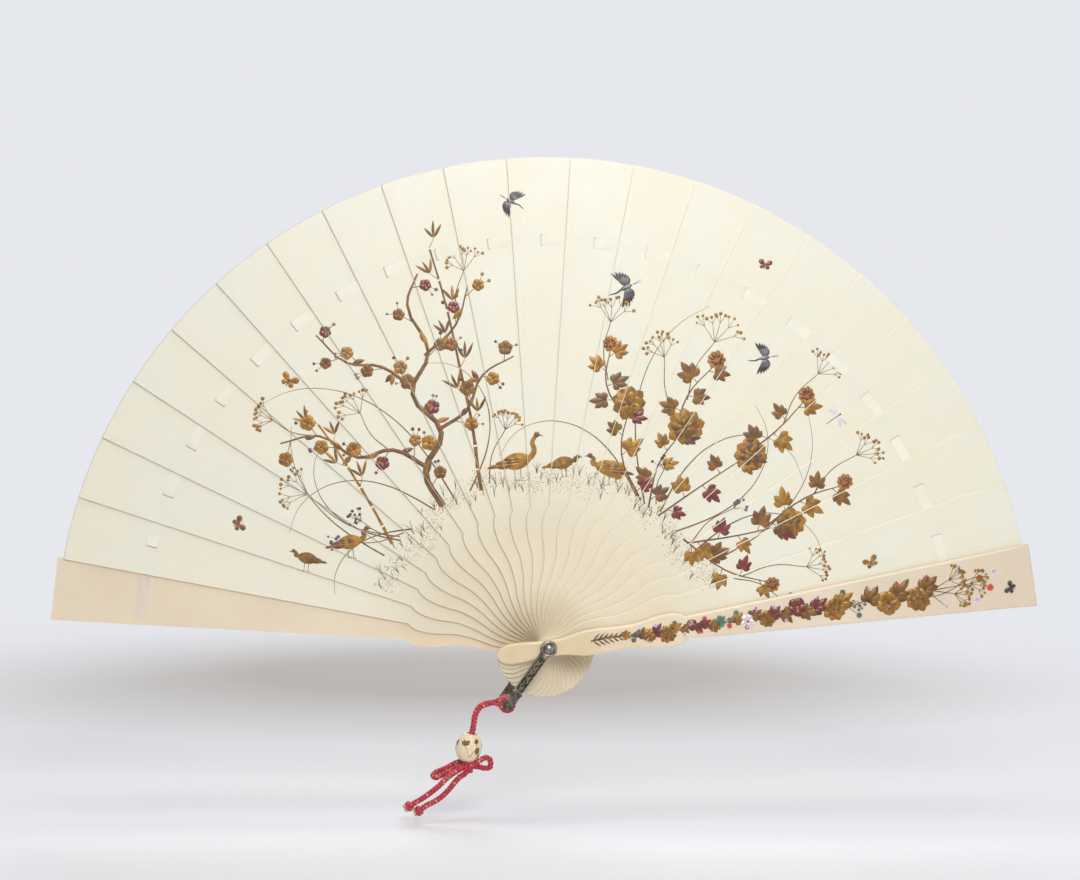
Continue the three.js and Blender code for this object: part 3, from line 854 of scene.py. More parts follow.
KNOT_WRAP_HALF = Vector((1.5, 3.1, 1.9))
KNOT_WRAP_TURNS = 1.6
KNOT_WRAP_START = 0.6
HITCH_RADIUS = 2.85
HITCH_START_Y = -4.0
HITCH_TURNS = 3
HITCH_PITCH = 2.75
END_KNOT_RADIUS = 1.45
END_KNOT_CORD = 2.5
END_KNOT_TURNS = 1.4
END_KNOT_START = -1.4
END_KNOT_LENGTH = 1.6
FRAY_THREADS = 90


def bow_knot():
    """The band of cord that wraps the middle of the bow, wound as an open helix."""
    across = Vector((KNOT_WRAP_HALF.x, 0, 0))
    line = coil(
        tassel_point(KNOT_CENTRE) - across, 2 * across, Vector((0, KNOT_WRAP_HALF.y, 0)),
        Vector((0, 0, KNOT_WRAP_HALF.z)), KNOT_WRAP_TURNS, 60, KNOT_WRAP_START,
    )
    return cord_piece("bow_knot_wrap", braided_tube(line, CORD_DIAMETER, 5), ["bow_knot"])


def bar_hitch():
    """The extra turns of the cord round the bail's bar, which end behind the front arm."""
    line = coil(
        TASSEL_ORIGIN + Vector((0, HITCH_START_Y, 0)), Vector((0, -HITCH_PITCH * HITCH_TURNS, 0)),
        Vector((HITCH_RADIUS, 0, 0)), Vector((0, 0, HITCH_RADIUS)), HITCH_TURNS, 48 * HITCH_TURNS,
        math.radians(BAIL_ANGLE - 180),
    )
    return cord_piece("cord_hitch", braided_tube(line, CORD_DIAMETER, 6), ())


def frayed_end(name, node, centre, heading, seed):
    """A small overhand knot with the cord's threads splayed out beyond it."""
    rng = random.Random(seed)
    heading = Vector(heading).normalized()
    side = heading.cross(Vector((0, 1, 0))).normalized()
    up = side.cross(heading)
    middle = tassel_point(centre)
    line = coil(
        middle + heading * END_KNOT_START, heading * END_KNOT_LENGTH, side * END_KNOT_RADIUS,
        up * END_KNOT_RADIUS, END_KNOT_TURNS, 44,
    )
    bm = braided_tube(line, END_KNOT_CORD, seed)
    fray = bmesh.new()
    for _ in range(FRAY_THREADS):
        angle = rng.uniform(0, 2 * math.pi)
        spread = rng.uniform(0.1, 1.0) ** 0.6
        out = side * math.cos(angle) + up * math.sin(angle)
        reach = rng.uniform(1.3, 2.6)
        start = middle + out * (1.3 * spread) + heading * 0.1
        bend = start + heading * (0.55 * reach) + out * (0.5 * spread)
        onward = heading * (0.45 * reach * rng.uniform(0.3, 1))
        end = bend + onward + out * (0.9 * spread * rng.uniform(0.3, 1))
        append(fray, thread([start, bend, end], 0.13, 0.07))
    crown = fray.verts.layers.float.new("crown")
    fleck = fray.verts.layers.float.new("fleck")
    for vert in fray.verts:
        vert[crown] = 0.8
        vert[fleck] = min(1.0, max(0.0, noise.noise(vert.co * 1.3) + 0.5))
    append(bm, fray, None, 1)
    return cord_piece(name, bm, [node], (CORD_SILK, FRAY_SILK))


def thread(points, start_radius, end_radius, fineness=1):
    """One fine thread as a closed tube along a smooth curve, square in section where fineness is 0."""
    data = bpy.data.curves.new("thread", "CURVE")
    data.dimensions = "3D"
    data.resolution_u = 4
    data.bevel_depth = 1
    data.bevel_resolution = fineness
    data.use_fill_caps = True
    spline = data.splines.new("BEZIER")
    spline.bezier_points.add(len(points) - 1)
    for i, (knot, point) in enumerate(zip(spline.bezier_points, points)):
        knot.handle_left_type = knot.handle_right_type = "AUTO"
        knot.co = point
        knot.radius = start_radius + (end_radius - start_radius) * i / (len(points) - 1)
    return solid_from_curve(data)


def make_tassel():
    knots = [bow_knot(), bar_hitch()]
    left_end = frayed_end("frayed_end_left", "tail_end_left", LEFT_TUFT_CENTRE, (-1, 0, -0.6), 11)
    right_end = frayed_end("frayed_end_right", "tail_end_right", RIGHT_TUFT_CENTRE, (-1, 0, -0.45), 12)
    right = tassel_route(RIGHT_LOOP_ROUTE[::-1], RIGHT_TAIL_ROUTE)
    left = tassel_route(LEFT_LOOP_ROUTE, LEFT_TAIL_ROUTE)
    declared_cord("cord_doubled", tassel_route(LOOP_ROUTE), ["cord_loop"], 1)
    declared_cord("cord_right", right, ["loop_right", "tail_right"], 2)
    declared_cord("cord_left", left, ["loop_left", "tail_left"], 3)


make_tassel()


# Rivet and bail

SCROLL_START = 6.4
SCROLL_STEP = 3.1
SCROLL_COUNT = 6
SCROLL_WIRE = 0.27
SCROLL_SIZE = 1.4
SMALL_SCROLL_SIZE = 0.95
GROUND_START = 5.0
GROUND_END = COLLAR_R - 0.5
GROUND_THICK = 0.12
RIVET_STAND = 0.3
RIVET_CAP_DEPTH = 0.9
HOLE_PLAY = 0.1
ARM_STEPS = 30


def arm_face_y():
    """Inner and outer faces of the bail's front arm, as distances from the middle of the stack."""
    outer = -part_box("bail")[0].y / MM
    return outer - BAIL_THICK, outer


def make_rivet():
    """The pin with its domed front head, and the domed head that closes it behind."""
    low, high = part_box("rivet_pin")
    top = -low.y / MM
    seat = arm_face_y()[1] + RIVET_STAND
    end = high.y / MM
    dome = [(PIN_R, -end), (PIN_R, seat)]
    for i in range(9):
        turn = i / 8 * math.pi / 2
        dome.append((DOME_R * math.cos(turn), seat + (top - seat) * math.sin(turn)))
    dome[-1] = (0, top)
    pin = spun([(0, -end), *dome], 32)
    move(pin, Matrix.Rotation(math.pi / 2, 4, "X"))
    piece("rivet_head", pin, [BRIGHT_SILVER], "back_guard", ["rivet_pin"], smooth=50)
    bore, floor = PIN_R + HOLE_PLAY, seat + RIVET_CAP_DEPTH
    cap = spun([(0, floor), (bore, floor), (bore, seat), *dome[2:]], 32)
    move(cap, Matrix.Rotation(-math.pi / 2, 4, "X"))
    piece("rivet_back_head", cap, [BRIGHT_SILVER], "back_guard", ["rivet_cap"], smooth=50)


def arm_outline():
    """An arm of the bail from the rivet to past the bar: round ear, arm, collar and plain end."""
    reach = BAR_REACH + END_MARGIN
    collar_end = COLLAR_R + COLLAR_LENGTH
    neck = math.degrees(math.asin(ARM_HALF / EAR_R))
    sweep = 360 - 2 * neck
    ear = [away(0, 0, neck + sweep * i / ARM_STEPS, EAR_R) for i in range(ARM_STEPS + 1)]
    lower = [
        (COLLAR_R, -ARM_HALF), (COLLAR_R + 0.2, -COLLAR_HALF), (collar_end - 0.2, -COLLAR_HALF),
        (collar_end, -END_HALF), (reach - 1.6, -END_HALF), (reach - 0.5, -END_HALF + 0.6),
        (reach, -END_HALF + 1.7),
    ]
    return ear + lower + [(x, -y) for x, y in reversed(lower)]


def scroll_wire(bm, start, side, size):
    """One curled leaf of the arm's ornament: a spiral that rises from the arm's middle."""
    middle = start + size * 1.05
    points = []
    for i in range(15):
        share = i / 14
        turn = side * (0.4 + share * 1.9 * math.pi)
        radius = size * (1 - 0.72 * share)
        points.append((middle - radius * math.cos(turn), side * -0.15 * size + radius * math.sin(turn), 0))
    append(bm, thread(points, SCROLL_WIRE, SCROLL_WIRE * 0.75))


def arm_ornament():
    """Raised scrolls along an arm, bands at its ends and a ring round the rivet, on the plane z = 0."""
    bm = bmesh.new()
    for i in range(SCROLL_COUNT):
        side = 1 if i % 2 == 0 else -1
        scroll_wire(bm, SCROLL_START + SCROLL_STEP * i, side, SCROLL_SIZE)
        scroll_wire(bm, SCROLL_START + SCROLL_STEP * (i + 0.55), -side, SMALL_SCROLL_SIZE)
    half = ARM_HALF - 0.45
    for place in (5.2, 5.75, COLLAR_R - 0.9, COLLAR_R - 0.35):
        append(bm, thread([(place, -half, 0), (place + 0.12, 0, 0), (place, half, 0)], 0.17, 0.17))
    for edge in (-1, 1):
        line = [(x, edge * (ARM_HALF - 0.42), 0) for x in (6.0, 12.0, 18.0, COLLAR_R - 1.2)]
        append(bm, thread(line, 0.12, 0.12))
    ring = [(2.9, -0.1), (4.0, -0.1), (4.0, 0.12), (3.75, 0.27), (3.4, 0.3), (3.1, 0.22), (2.9, 0.05)]
    append(bm, spun([*ring, ring[0]], 36))
    return bm


def make_bail():
    inner, outer = arm_face_y()
    middle = (inner + outer) / 2
    turned = on_leaf(BAIL_ANGLE, 0)
    sides = [turned, turned @ Matrix.Rotation(math.pi, 4, "X")]
    bm = bmesh.new()
    for side in sides:
        arm = plate([arm_outline(), ring_points(PIN_R + HOLE_PLAY, 24)], BAIL_THICK, BAIL_ROUND)
        append(bm, arm, side @ Matrix.Translation((0, 0, middle)))
    bar = bmesh.new()
    bmesh.ops.create_cone(
        bar, cap_ends=True, segments=24, radius1=BAR_R, radius2=BAR_R, depth=2 * middle,
    )
    append(bm, bar, turned @ Matrix.Translation((BAR_REACH, 0, 0)))
    piece("bail_frame", bm, [TARNISHED], "bail", ["bail"], smooth=40)
    scrolls = bmesh.new()
    half = ARM_HALF - 0.55
    ground = [(GROUND_START, -half), (GROUND_END, -half), (GROUND_END, half), (GROUND_START, half)]
    for side in sides:
        face = side @ Matrix.Translation((0, 0, outer))
        append(scrolls, arm_ornament(), face)
        append(scrolls, plate([ground], GROUND_THICK, 0.03), face, 1)
    piece("bail_scrolls", scrolls, [WORN_SILVER, BLACKENED], "bail", smooth=50)


make_rivet()
make_bail()


# Bead

PATCH_RISE = 0.16
PATCH_LID = 0.88
PATCH_INSET = 0.18
PATCH_FOOT = -0.3
BEAD_CHAMFER = 0.5
BEAD_PATCHES = [
    (-118, 2.5, 3.6, 0.5), (-101, 3.0, 2.8, 1.9), (-60, 4.2, 3.0, 1.3), (-50, -0.6, 4.2, 2.2),
    (-20, -3.4, 2.6, 0.3), (14, 2.4, 3.8, 0.9), (52, -1.8, 4.0, 2.6), (98, 2.6, 3.2, 1.7),
    (146, -1.2, 4.2, 0.4), (-165, 1.6, 3.0, 2.0),
]
BEAD_LINES = [
    (-128, -86, 4.2, -3.4), (-84, -60, -4.6, 0.2), (-66, -28, 4.6, -4.3), (-20, 24, -4.4, 4.6),
    (30, 62, 4.4, -3.8), (76, 112, -4.8, 4.2), (122, 160, 4.6, -4.4), (170, 205, -4.2, 3.8),
]


def bead_radius(height):
    return BEAD_R * math.sqrt(1 - (height / BEAD_CROWN) ** 2)


def on_bead(angle, height, rise):
    """A point on the bead: its angle round the bore in degrees, -90 at the front, and its height."""
    return Vector((*away(0, 0, angle, bead_radius(height) + rise), height))


def bead_patch(angle, height, size, turn):
    """A small angular chip let into the bead, standing a little proud."""
    bm = bmesh.new()
    bmesh.ops.create_circle(bm, cap_ends=True, segments=7, radius=size / 2)
    for i, vert in enumerate(bm.verts):
        vert.co *= 0.72 + 0.5 * (i * 5 % 7) / 7
    move(bm, Matrix.Rotation(turn, 4, "Z"))
    raised = bmesh.ops.extrude_face_region(bm, geom=bm.faces[:])["geom"]
    for vert in only(bmesh.types.BMVert, raised):
        vert.co = vert.co * PATCH_LID
        vert.co.z = PATCH_RISE
    lid = only(bmesh.types.BMFace, raised)
    bmesh.ops.inset_region(bm, faces=lid, thickness=size * PATCH_INSET)
    bmesh.ops.poke(bm, faces=lid)
    for vert in bm.verts:
        across = math.degrees(vert.co.x / bead_radius(height))
        rise = vert.co.z if vert.co.z > 0 else PATCH_FOOT
        vert.co = on_bead(angle + across, height + vert.co.y, rise)
    bmesh.ops.recalc_face_normals(bm, faces=bm.faces)
    return bm


def make_bead():
    half = BEAD_LENGTH / 2
    rim = bead_radius(half) - BEAD_CHAMFER
    heights = [(i / 24 - 0.5) * (BEAD_LENGTH - BEAD_CHAMFER) for i in range(25)]
    profile = [(BEAD_BORE_R, -half), (rim, -half)]
    profile += [(bead_radius(height), height) for height in heights]
    profile += [(rim, half), (BEAD_BORE_R, half), (BEAD_BORE_R, -half)]
    tilt = Matrix.Rotation(math.radians(BEAD_TILT), 4, "Y")
    place = Matrix.Translation(TASSEL_ORIGIN + BEAD_CENTRE) @ tilt
    bead = bmesh.new()
    append(bead, spun(profile, 48), place)
    piece("bead_body", bead, [BEAD_IVORY], "bead", ["bead"], smooth=40)
    chips = bmesh.new()
    for patch in BEAD_PATCHES:
        append(chips, bead_patch(*patch), place)
    piece("bead_chips", chips, [LACQUER["old_gold"]], "bead", smooth=40)
    lines = bmesh.new()
    for start, end, bottom, top in BEAD_LINES:
        route = []
        for i in range(7):
            height = bottom + (top - bottom) * i / 6 + 0.6 * math.sin(2.1 * i)
            route.append(on_bead(start + (end - start) * i / 6, height, 0.0))
        append(lines, thread(route, 0.13, 0.09), place)
    piece("bead_lines", lines, [LACQUER["brown"]], "bead", smooth=40)


make_bead()


# Lacquer picture: its shapes are drawn flat, with their relief towards +Z, and cut where a leaf ends

SUNK = 0.05
EDGE_MARGIN = 0.35
UNDER_NEXT = 0.4
BLADE_STEPS = 6
PILLOW_LID = 0.84
PILLOW_SHOULDER = 0.6
LOBES = ((-68, 0.55), (68, 0.55), (-34, 0.8), (34, 0.8), (0, 1.0))
BIRD_NECK = ((0.36, 0.6, 0), (0.47, 0.6, 0.2), (0.42, 0.62, 0.42), (0.52, 0.66, 0.56))
PLUM_PAINTS = (("gold", "brown"), ("gold", "red"), ("old_gold", "brown"), ("red", "gold"))
PLUM_LEAF_PAINTS = (("gold", "brown"), ("old_gold", "gold"), ("brown", "gold"))
PEONY_LEAF_PAINTS = (
    ("gold", "old_gold"), ("gold", "brown"), ("old_gold", "gold"), ("brown", "gold"), ("red", "gold"),
    ("gold", "brown"),
)


def blade_outline(length, width, lean, fullness, bend):
    """A petal or leaf along +X. A lean above 1 moves its widest place towards its end."""
    sides = []
    for i in range(1, BLADE_STEPS):
        share = i / BLADE_STEPS
        half = width / 2 * math.sin(math.pi * share ** lean) ** fullness
        sides.append((length * share, half, bend * length * share ** 2))
    lower = [(x, middle - half) for x, half, middle in sides]
    upper = [(x, middle + half) for x, half, middle in reversed(sides)]
    return [(0, 0), *lower, (length, bend * length), *upper]


def cane_outline(length, width):
    """One joint of a cane along +X, waisted between its two nodes."""
    lower = [(0.0, -0.5), (0.05, -0.45), (0.3, -0.38), (0.7, -0.38), (0.95, -0.45), (1.0, -0.5)]
    side = [(length * x, width * y) for x, y in lower]
    return side + [(x, -y) for x, y in reversed(side)]


def raised(outline, rise, lift=0.0):
    """A low pillow over an outline that can be seen whole from its middle."""
    bm = bmesh.new()
    made = bmesh.ops.create_circle(bm, cap_ends=True, segments=len(outline), radius=1)["verts"]
    for vert, (x, y) in zip(made, outline):
        vert.co = (x, y, -SUNK)
    middle = sum((vert.co for vert in made), Vector()) / len(made)
    top = bmesh.ops.extrude_face_region(bm, geom=bm.faces[:])["geom"]
    for vert in only(bmesh.types.BMVert, top):
        vert.co = middle.lerp(vert.co, PILLOW_LID)
        vert.co.z = lift + PILLOW_SHOULDER * rise
    peak = bmesh.ops.poke(bm, faces=only(bmesh.types.BMFace, top))["verts"][0]
    peak.co.z = lift + rise
    return bm


class Picture:
    """The shapes of one side's picture, each with its paint."""

    def __init__(self, seed):
        self.shapes = []
        self.rng = random.Random(seed)

    def add(self, bm, paint, x, y, angle=0.0):
        move(bm, Matrix.Translation((x, y, 0)) @ Matrix.Rotation(math.radians(angle), 4, "Z"))
        self.shapes.append((bm, PAINTS.index(paint)))

    def blade(
        self, x, y, angle, length, width, paint, rise=0.1, lift=0.0, lean=0.85, fullness=0.9, bend=0.0,
    ):
        outline = blade_outline(length, width, lean, fullness, bend)
        self.add(raised(outline, rise, lift), paint, x, y, angle)

    def disc(self, x, y, radius, paint, rise=0.1, lift=0.0, count=9):
        self.add(raised(ring_points(radius, count), rise, lift), paint, x, y)

    def stroke(self, points, start, end, paint, rise):
        """A line that tapers from one width to another."""
        bm = thread([(x, y, 0) for x, y in points], start / 2, end / 2, 0)
        bmesh.ops.scale(bm, vec=(1, 1, 2 * rise / max(start, end)), verts=bm.verts)
        self.add(bm, paint, 0, 0)

    def shoot(self, foot, heading, reach, start, end, paint, rise):
        """A straight stroke from a foot towards a heading, and the place where it ends."""
        tip = away(*foot, heading, reach)
        self.stroke([foot, tip], start, end, paint, rise)
        return tip

    def leaf(self, x, y, angle, length, width, paint, vein):
        """A pointed leaf with its midrib."""
        bend = self.rng.uniform(-0.14, 0.14)
        self.blade(x, y, angle, length, width, paint, bend=bend)
        rib = [
            away(*away(x, y, angle, length * share), angle + 90, bend * length * share ** 2)
            for share in (0.05, 0.45, 0.85)
        ]
        self.stroke(rib, 0.3, 0.14, vein, 0.14)

    def lobed_leaf(self, x, y, angle, size, paint, vein):
        """A leaf of five pointed lobes, each with its rib."""
        for turn, reach in LOBES:
            length = size * reach * self.rng.uniform(0.92, 1.08)
            heading = angle + turn + self.rng.uniform(-4, 4)
            self.blade(x, y, heading, length, size * 0.4, paint, lean=1.05, rise=0.08 + 0.03 * reach)
            self.shoot((x, y), heading, 0.78 * length, 0.26, 0.12, vein, 0.13)

    def plum_blossom(self, x, y, radius, petal, heart):
        """Five round petals with a ring of stamens."""
        start = self.rng.uniform(0, 72)
        for i in range(5):
            heading = start + 72 * i
            self.blade(x, y, heading, radius, radius * 0.98, petal, lean=1.5, fullness=0.55)
            stamen = away(x, y, heading, 0.45 * radius)
            self.disc(*stamen, 0.06 * radius + 0.14, heart, 0.05, 0.1, 5)
        self.disc(x, y, 0.17 * radius, heart, 0.05, 0.1, 7)

    def peony(self, x, y, radius, outer, inner, heart):
        """Three rings of broad petals round a small heart."""
        start = self.rng.uniform(0, 60)
        for count, reach, breadth, rise, lift, paint, vein in (
            (9, 1.0, 0.62, 0.07, 0.0, outer, inner), (7, 0.7, 0.6, 0.06, 0.05, inner, outer),
            (5, 0.44, 0.5, 0.05, 0.1, outer, inner),
        ):
            for i in range(count):
                heading = start + 360 * i / count + self.rng.uniform(-4, 4)
                length = radius * reach * self.rng.uniform(0.93, 1.05)
                self.blade(x, y, heading, length, radius * reach * breadth, paint, rise, lift, 1.7, 0.6)
                foot = away(x, y, heading, 0.35 * length)
                self.shoot(foot, heading, 0.51 * length, 0.12, 0.2, vein, lift + rise + 0.012)
            start += 180 / count
        self.disc(x, y, 0.13 * radius, heart, 0.04, 0.13, 7)

    def berries(self, x, y, heading, count, paint, stem, size=7.5):
        """A loose cluster of berries on fine stalks."""
        for _ in range(count):
            turn = heading + self.rng.uniform(-55, 55)
            tip = self.shoot((x, y), turn, size * self.rng.uniform(0.33, 1), 0.2, 0.14, stem, 0.06)
            self.disc(*tip, self.rng.uniform(0.65, 1.0), paint, 0.13)

    def needle_sprig(self, x, y, heading, length, paint):
        """A short stem with paired narrow leaves, smaller towards its end."""
        self.shoot((x, y), heading, length, 0.5, 0.26, paint, 0.1)
        for i in range(6):
            share = (i + 0.4) / 6
            foot = away(x, y, heading, length * share)
            for side in (-1, 1):
                self.blade(*foot, heading + side * 40, length * (0.36 - 0.16 * share), 0.9, paint)

    def spray(self, x, y, heading, size, paint, stem):
        """A stalk that divides twice and ends in small round flower heads."""
        rng = self.rng
        for i in range(5):
            turn = heading + 24 * (i - 2) + rng.uniform(-7, 7)
            fork = self.shoot((x, y), turn, size * rng.uniform(0.5, 0.75), 0.36, 0.24, stem, 0.07)
            for side in (-26, 8, 40):
                aside = turn + side + rng.uniform(-8, 8)
                tip = self.shoot(fork, aside, size * rng.uniform(0.22, 0.42), 0.24, 0.18, stem, 0.06)
                self.disc(*tip, rng.uniform(0.7, 1.15), paint, 0.11, 0.0, 7)

    def grass(self, x, y, heading, length, curl, paint):
        """A long blade of grass that bends over as it rises."""
        points = [(x, y)]
        for i in range(7):
            points.append(away(*points[-1], heading + curl * (i / 6) ** 1.6, length / 7))
        self.stroke(points, 0.85, 0.16, paint, 0.09)

    def tuft(self, x, y, heading, height, paint):
        for _ in range(self.rng.randint(4, 7)):
            lean = self.rng.uniform(-38, 38)
            half = height * self.rng.uniform(0.5, 1.0) / 2
            middle = away(x, y, heading + lean * 0.4, half)
            self.stroke([(x, y), middle, away(*middle, heading + lean, half)], 0.22, 0.1, paint, 0.06)

    def butterfly(self, x, y, angle, size, wing, spot):
        for side in (-1, 1):
            self.blade(x, y, angle + side * 52, size, size * 0.62, wing, lean=1.6, fullness=0.6)
            self.blade(x, y, angle + side * 118, size * 0.66, size * 0.5, wing, 0.08, 0.0, 1.5, 0.6)
            self.disc(*away(x, y, angle + side * 54, 0.62 * size), size * 0.1, spot, 0.04, 0.09, 6)
            self.shoot((x, y), angle + side * 16, size * 0.7, 0.16, 0.1, spot, 0.06)
        tail = away(x, y, angle, -0.42 * size)
        self.shoot(tail, angle, 0.7 * size, size * 0.1, size * 0.13, spot, 0.15)

    def dragonfly(self, x, y, angle, size, wing, body):
        for turn, reach in ((-74, 0.72), (-104, 0.66), (74, 0.72), (104, 0.66)):
            self.blade(x, y, angle + turn, size * reach, size * 0.15, wing, 0.06, 0.0, 1.3, 0.6)
        head = away(x, y, angle, 0.2 * size)
        self.stroke([away(x, y, angle, -0.72 * size), (x, y), head], 0.35, 0.7, body, 0.14)
        self.disc(*head, 0.55, body, 0.14)

    def flying_bird(self, x, y, angle, size, dark, pale):
        """A long-necked bird in flight: spread wings of separate feathers, body, neck and legs."""
        def at(ahead, aside=0.0):
            return away(*away(x, y, angle, size * ahead), angle + 90, size * aside)

        for side, spread in ((1, 62), (-1, 74)):
            for i in range(7):
                heading = angle + side * (spread + 11 * i)
                length = size * (1.0 - 0.085 * i)
                self.blade(x, y, heading, length, size * 0.17, dark, 0.08, 0.0, 1.3, 0.8, -0.12 * side)
            for i in range(5):
                heading = angle + side * (spread + 14 * i)
                length, width = size * 0.56, size * 0.16
                self.blade(x, y, heading, length, width, pale, 0.05, 0.07, 1.2, 0.8, -0.1 * side)
        self.blade(*at(-0.34), angle, size * 0.72, size * 0.24, pale, 0.06, 0.08, 0.9, 0.8)
        self.stroke([at(0.28), at(0.5, 0.05), at(0.78)], size * 0.1, size * 0.055, dark, 0.12)
        self.stroke([at(0.78), at(0.92)], size * 0.06, 0.12, "gold", 0.1)
        for side in (-1, 1):
            self.stroke([at(-0.34), at(-0.74, 0.05 * side)], 0.26, 0.16, dark, 0.08)

    def standing_bird(self, x, y, size, facing, reach, plumage, wing, dark):
        """A plump water bird on its feet, with a folded wing of layered feathers. facing is 1 or -1."""
        def at(across, up):
            return x + facing * size * across, y + size * up

        def feather(foot, turn, length, width, paint, *form):
            heading = (0 if facing > 0 else 180) + facing * turn
            self.blade(*foot, heading, size * length, size * width, paint, *form)

        for hip in (-0.06, 0.1):
            ankle = hip + 0.03
            self.stroke([at(hip, 0.3), at(ankle, 0)], 0.34, 0.26, dark, 0.08)
            for toe in (-0.07, 0.05, 0.11):
                self.stroke([at(ankle, 0), at(ankle + toe, -0.03)], 0.24, 0.14, dark, 0.07)
        for turn in (-6, 10, 24):
            feather(at(-0.62, 0.36), turn, 0.42, 0.13, dark, 0.07, 0.0, 1.0, 0.8)
        feather(at(-0.5, 0.4), 12, 0.98, 0.5, plumage, 0.09, 0.02, 1.05, 0.75)
        neck = [at(across, up + share * reach) for across, up, share in BIRD_NECK]
        self.stroke(neck, size * 0.17, size * 0.1, plumage, 0.14)
        head = at(0.54, 0.68 + 0.56 * reach)
        self.disc(*head, size * 0.085, dark, 0.15, 0.0, 8)
        self.stroke([head, at(0.72, 0.66 + 0.54 * reach)], size * 0.07, 0.14, wing, 0.1)
        for row in range(3):
            for i in range(4 + row):
                foot = at(0.22 - 0.11 * i - 0.06 * row, 0.6 - 0.07 * row - 0.012 * i)
                paint = wing if (row + i) % 2 else plumage
                feather(foot, 186 + 5 * row, 0.24 + 0.07 * row, 0.1, paint, 0.04, 0.1, 1.2, 0.7)

    def bamboo(self, x, y, heading, joints, length, width, paint, leaf_paints):
        """A cane of separate joints, with sprays of leaves at them."""
        for i in range(joints):
            step = length * (0.86 + 0.05 * i)
            joint = raised(cane_outline(step - 0.3, width * (1 - 0.06 * i)), 0.13)
            self.add(joint, paint, x, y, heading)
            x, y = away(x, y, heading, step)
            if i >= 2:
                side = 1 if i % 2 else -1
                twig = self.shoot((x, y), heading + side * 42, 5.5, 0.4, 0.24, paint, 0.08)
                for turn in (-24, 10, 44):
                    reach = self.rng.uniform(7.5, 10.5)
                    leaf_paint = self.rng.choice(leaf_paints)
                    self.leaf(*twig, heading + side * turn, reach, 1.7, leaf_paint, "brown")
            heading += self.rng.uniform(-3.5, 3.5)

    def plum_branch(self, points, start, end, blossoms, leaves):
        """A crooked branch with blossoms, buds and short twigs along it."""
        rng = self.rng
        self.stroke(points, start, end, "brown", 0.13)
        lit = [(x + 0.12 * start, y + 0.1 * start) for x, y in points]
        self.stroke(lit, start * 0.34, end * 0.4, "gold", 0.15)
        line = flat_line(points)
        for i in range(blossoms):
            foot, heading = line.flat_at(line.total * (i + 0.6) / blossoms)
            heading += (1 if i % 2 else -1) * rng.uniform(28, 64)
            tip = self.shoot(foot, heading, rng.uniform(5, 10), 0.5, 0.26, "brown", 0.09)
            petal, heart = rng.choice(PLUM_PAINTS)
            self.plum_blossom(*tip, rng.uniform(3.3, 4.6), petal, heart)
            for _ in range(2):
                bud = self.shoot(tip, heading + rng.uniform(-70, 70), 6, 0.26, 0.2, "brown", 0.06)
                radius = rng.uniform(0.7, 1.1)
                self.disc(*bud, radius, rng.choice(("red", "gold", "grey")), 0.14, 0.0, 7)
        for _ in range(leaves):
            foot = line.flat_at(line.total * rng.uniform(0.1, 1.0))[0]
            paint, vein = rng.choice(PLUM_LEAF_PAINTS)
            self.leaf(*foot, rng.uniform(0, 360), rng.uniform(6, 9), 3.0, paint, vein)


def each(draw, *rows):
    """Draws one kind of motif for each row of its values."""
    for row in rows:
        draw(*row)


DUST_RADIUS = 88
DUST_INNER = 77
DUST_OUTER = 101
DUST_SPREAD = 3.2
TUFT_INNER = 80
TUFT_OUTER = 94


def dust_ground(picture, first, last, count, tufts):
    """An arc of sprinkled specks, with tufts of grass that grow outwards from it."""
    rng = picture.rng
    for _ in range(count):
        turn = rng.uniform(first, last)
        wave = 3.5 * math.sin(math.radians(turn * 7)) + 2 * math.sin(math.radians(turn * 17 + 40))
        reach = min(DUST_OUTER, max(DUST_INNER, rng.gauss(DUST_RADIUS + wave, DUST_SPREAD)))
        paint = rng.choice(("brown", "old_gold", "brown", "gold"))
        picture.disc(*away(0, 0, turn, reach), rng.uniform(0.14, 0.34), paint, 0.06, 0.0, 4)
    for i in range(tufts):
        turn = first + (last - first) * (i + rng.uniform(0.1, 0.9)) / tufts
        foot = away(0, 0, turn, rng.uniform(TUFT_INNER, TUFT_OUTER))
        paint = rng.choice(("brown", "old_gold", "brown"))
        picture.tuft(*foot, 90 + (turn - 90) * 0.5, rng.uniform(5, 9.5), paint)


def plum_tree(picture):
    """A gnarled plum that rises left of the middle, with bamboo beside it."""
    each(
        picture.bamboo, (-34, 80, 100, 9, 13.5, 2.4, "old_gold", ("gold", "old_gold", "brown")),
        (-80, 52, 118, 6, 12.5, 2.0, "gold", ("gold", "brown", "old_gold")),
    )
    trunk = [(-54, 72), (-63, 90), (-55, 110), (-70, 130), (-62, 152), (-73, 176), (-68, 192)]
    each(
        picture.plum_branch, (trunk, 3.6, 1.0, 7, 5),
        ([(-62, 92), (-80, 101), (-98, 97), (-118, 108), (-138, 104)], 2.4, 0.8, 6, 5),
        ([(-56, 112), (-42, 122), (-34, 140), (-18, 150)], 2.0, 0.7, 4, 3),
        ([(-69, 132), (-86, 144), (-104, 146), (-120, 160)], 2.0, 0.7, 5, 3),
        ([(-64, 150), (-48, 166), (-42, 186)], 1.6, 0.6, 3, 2),
    )


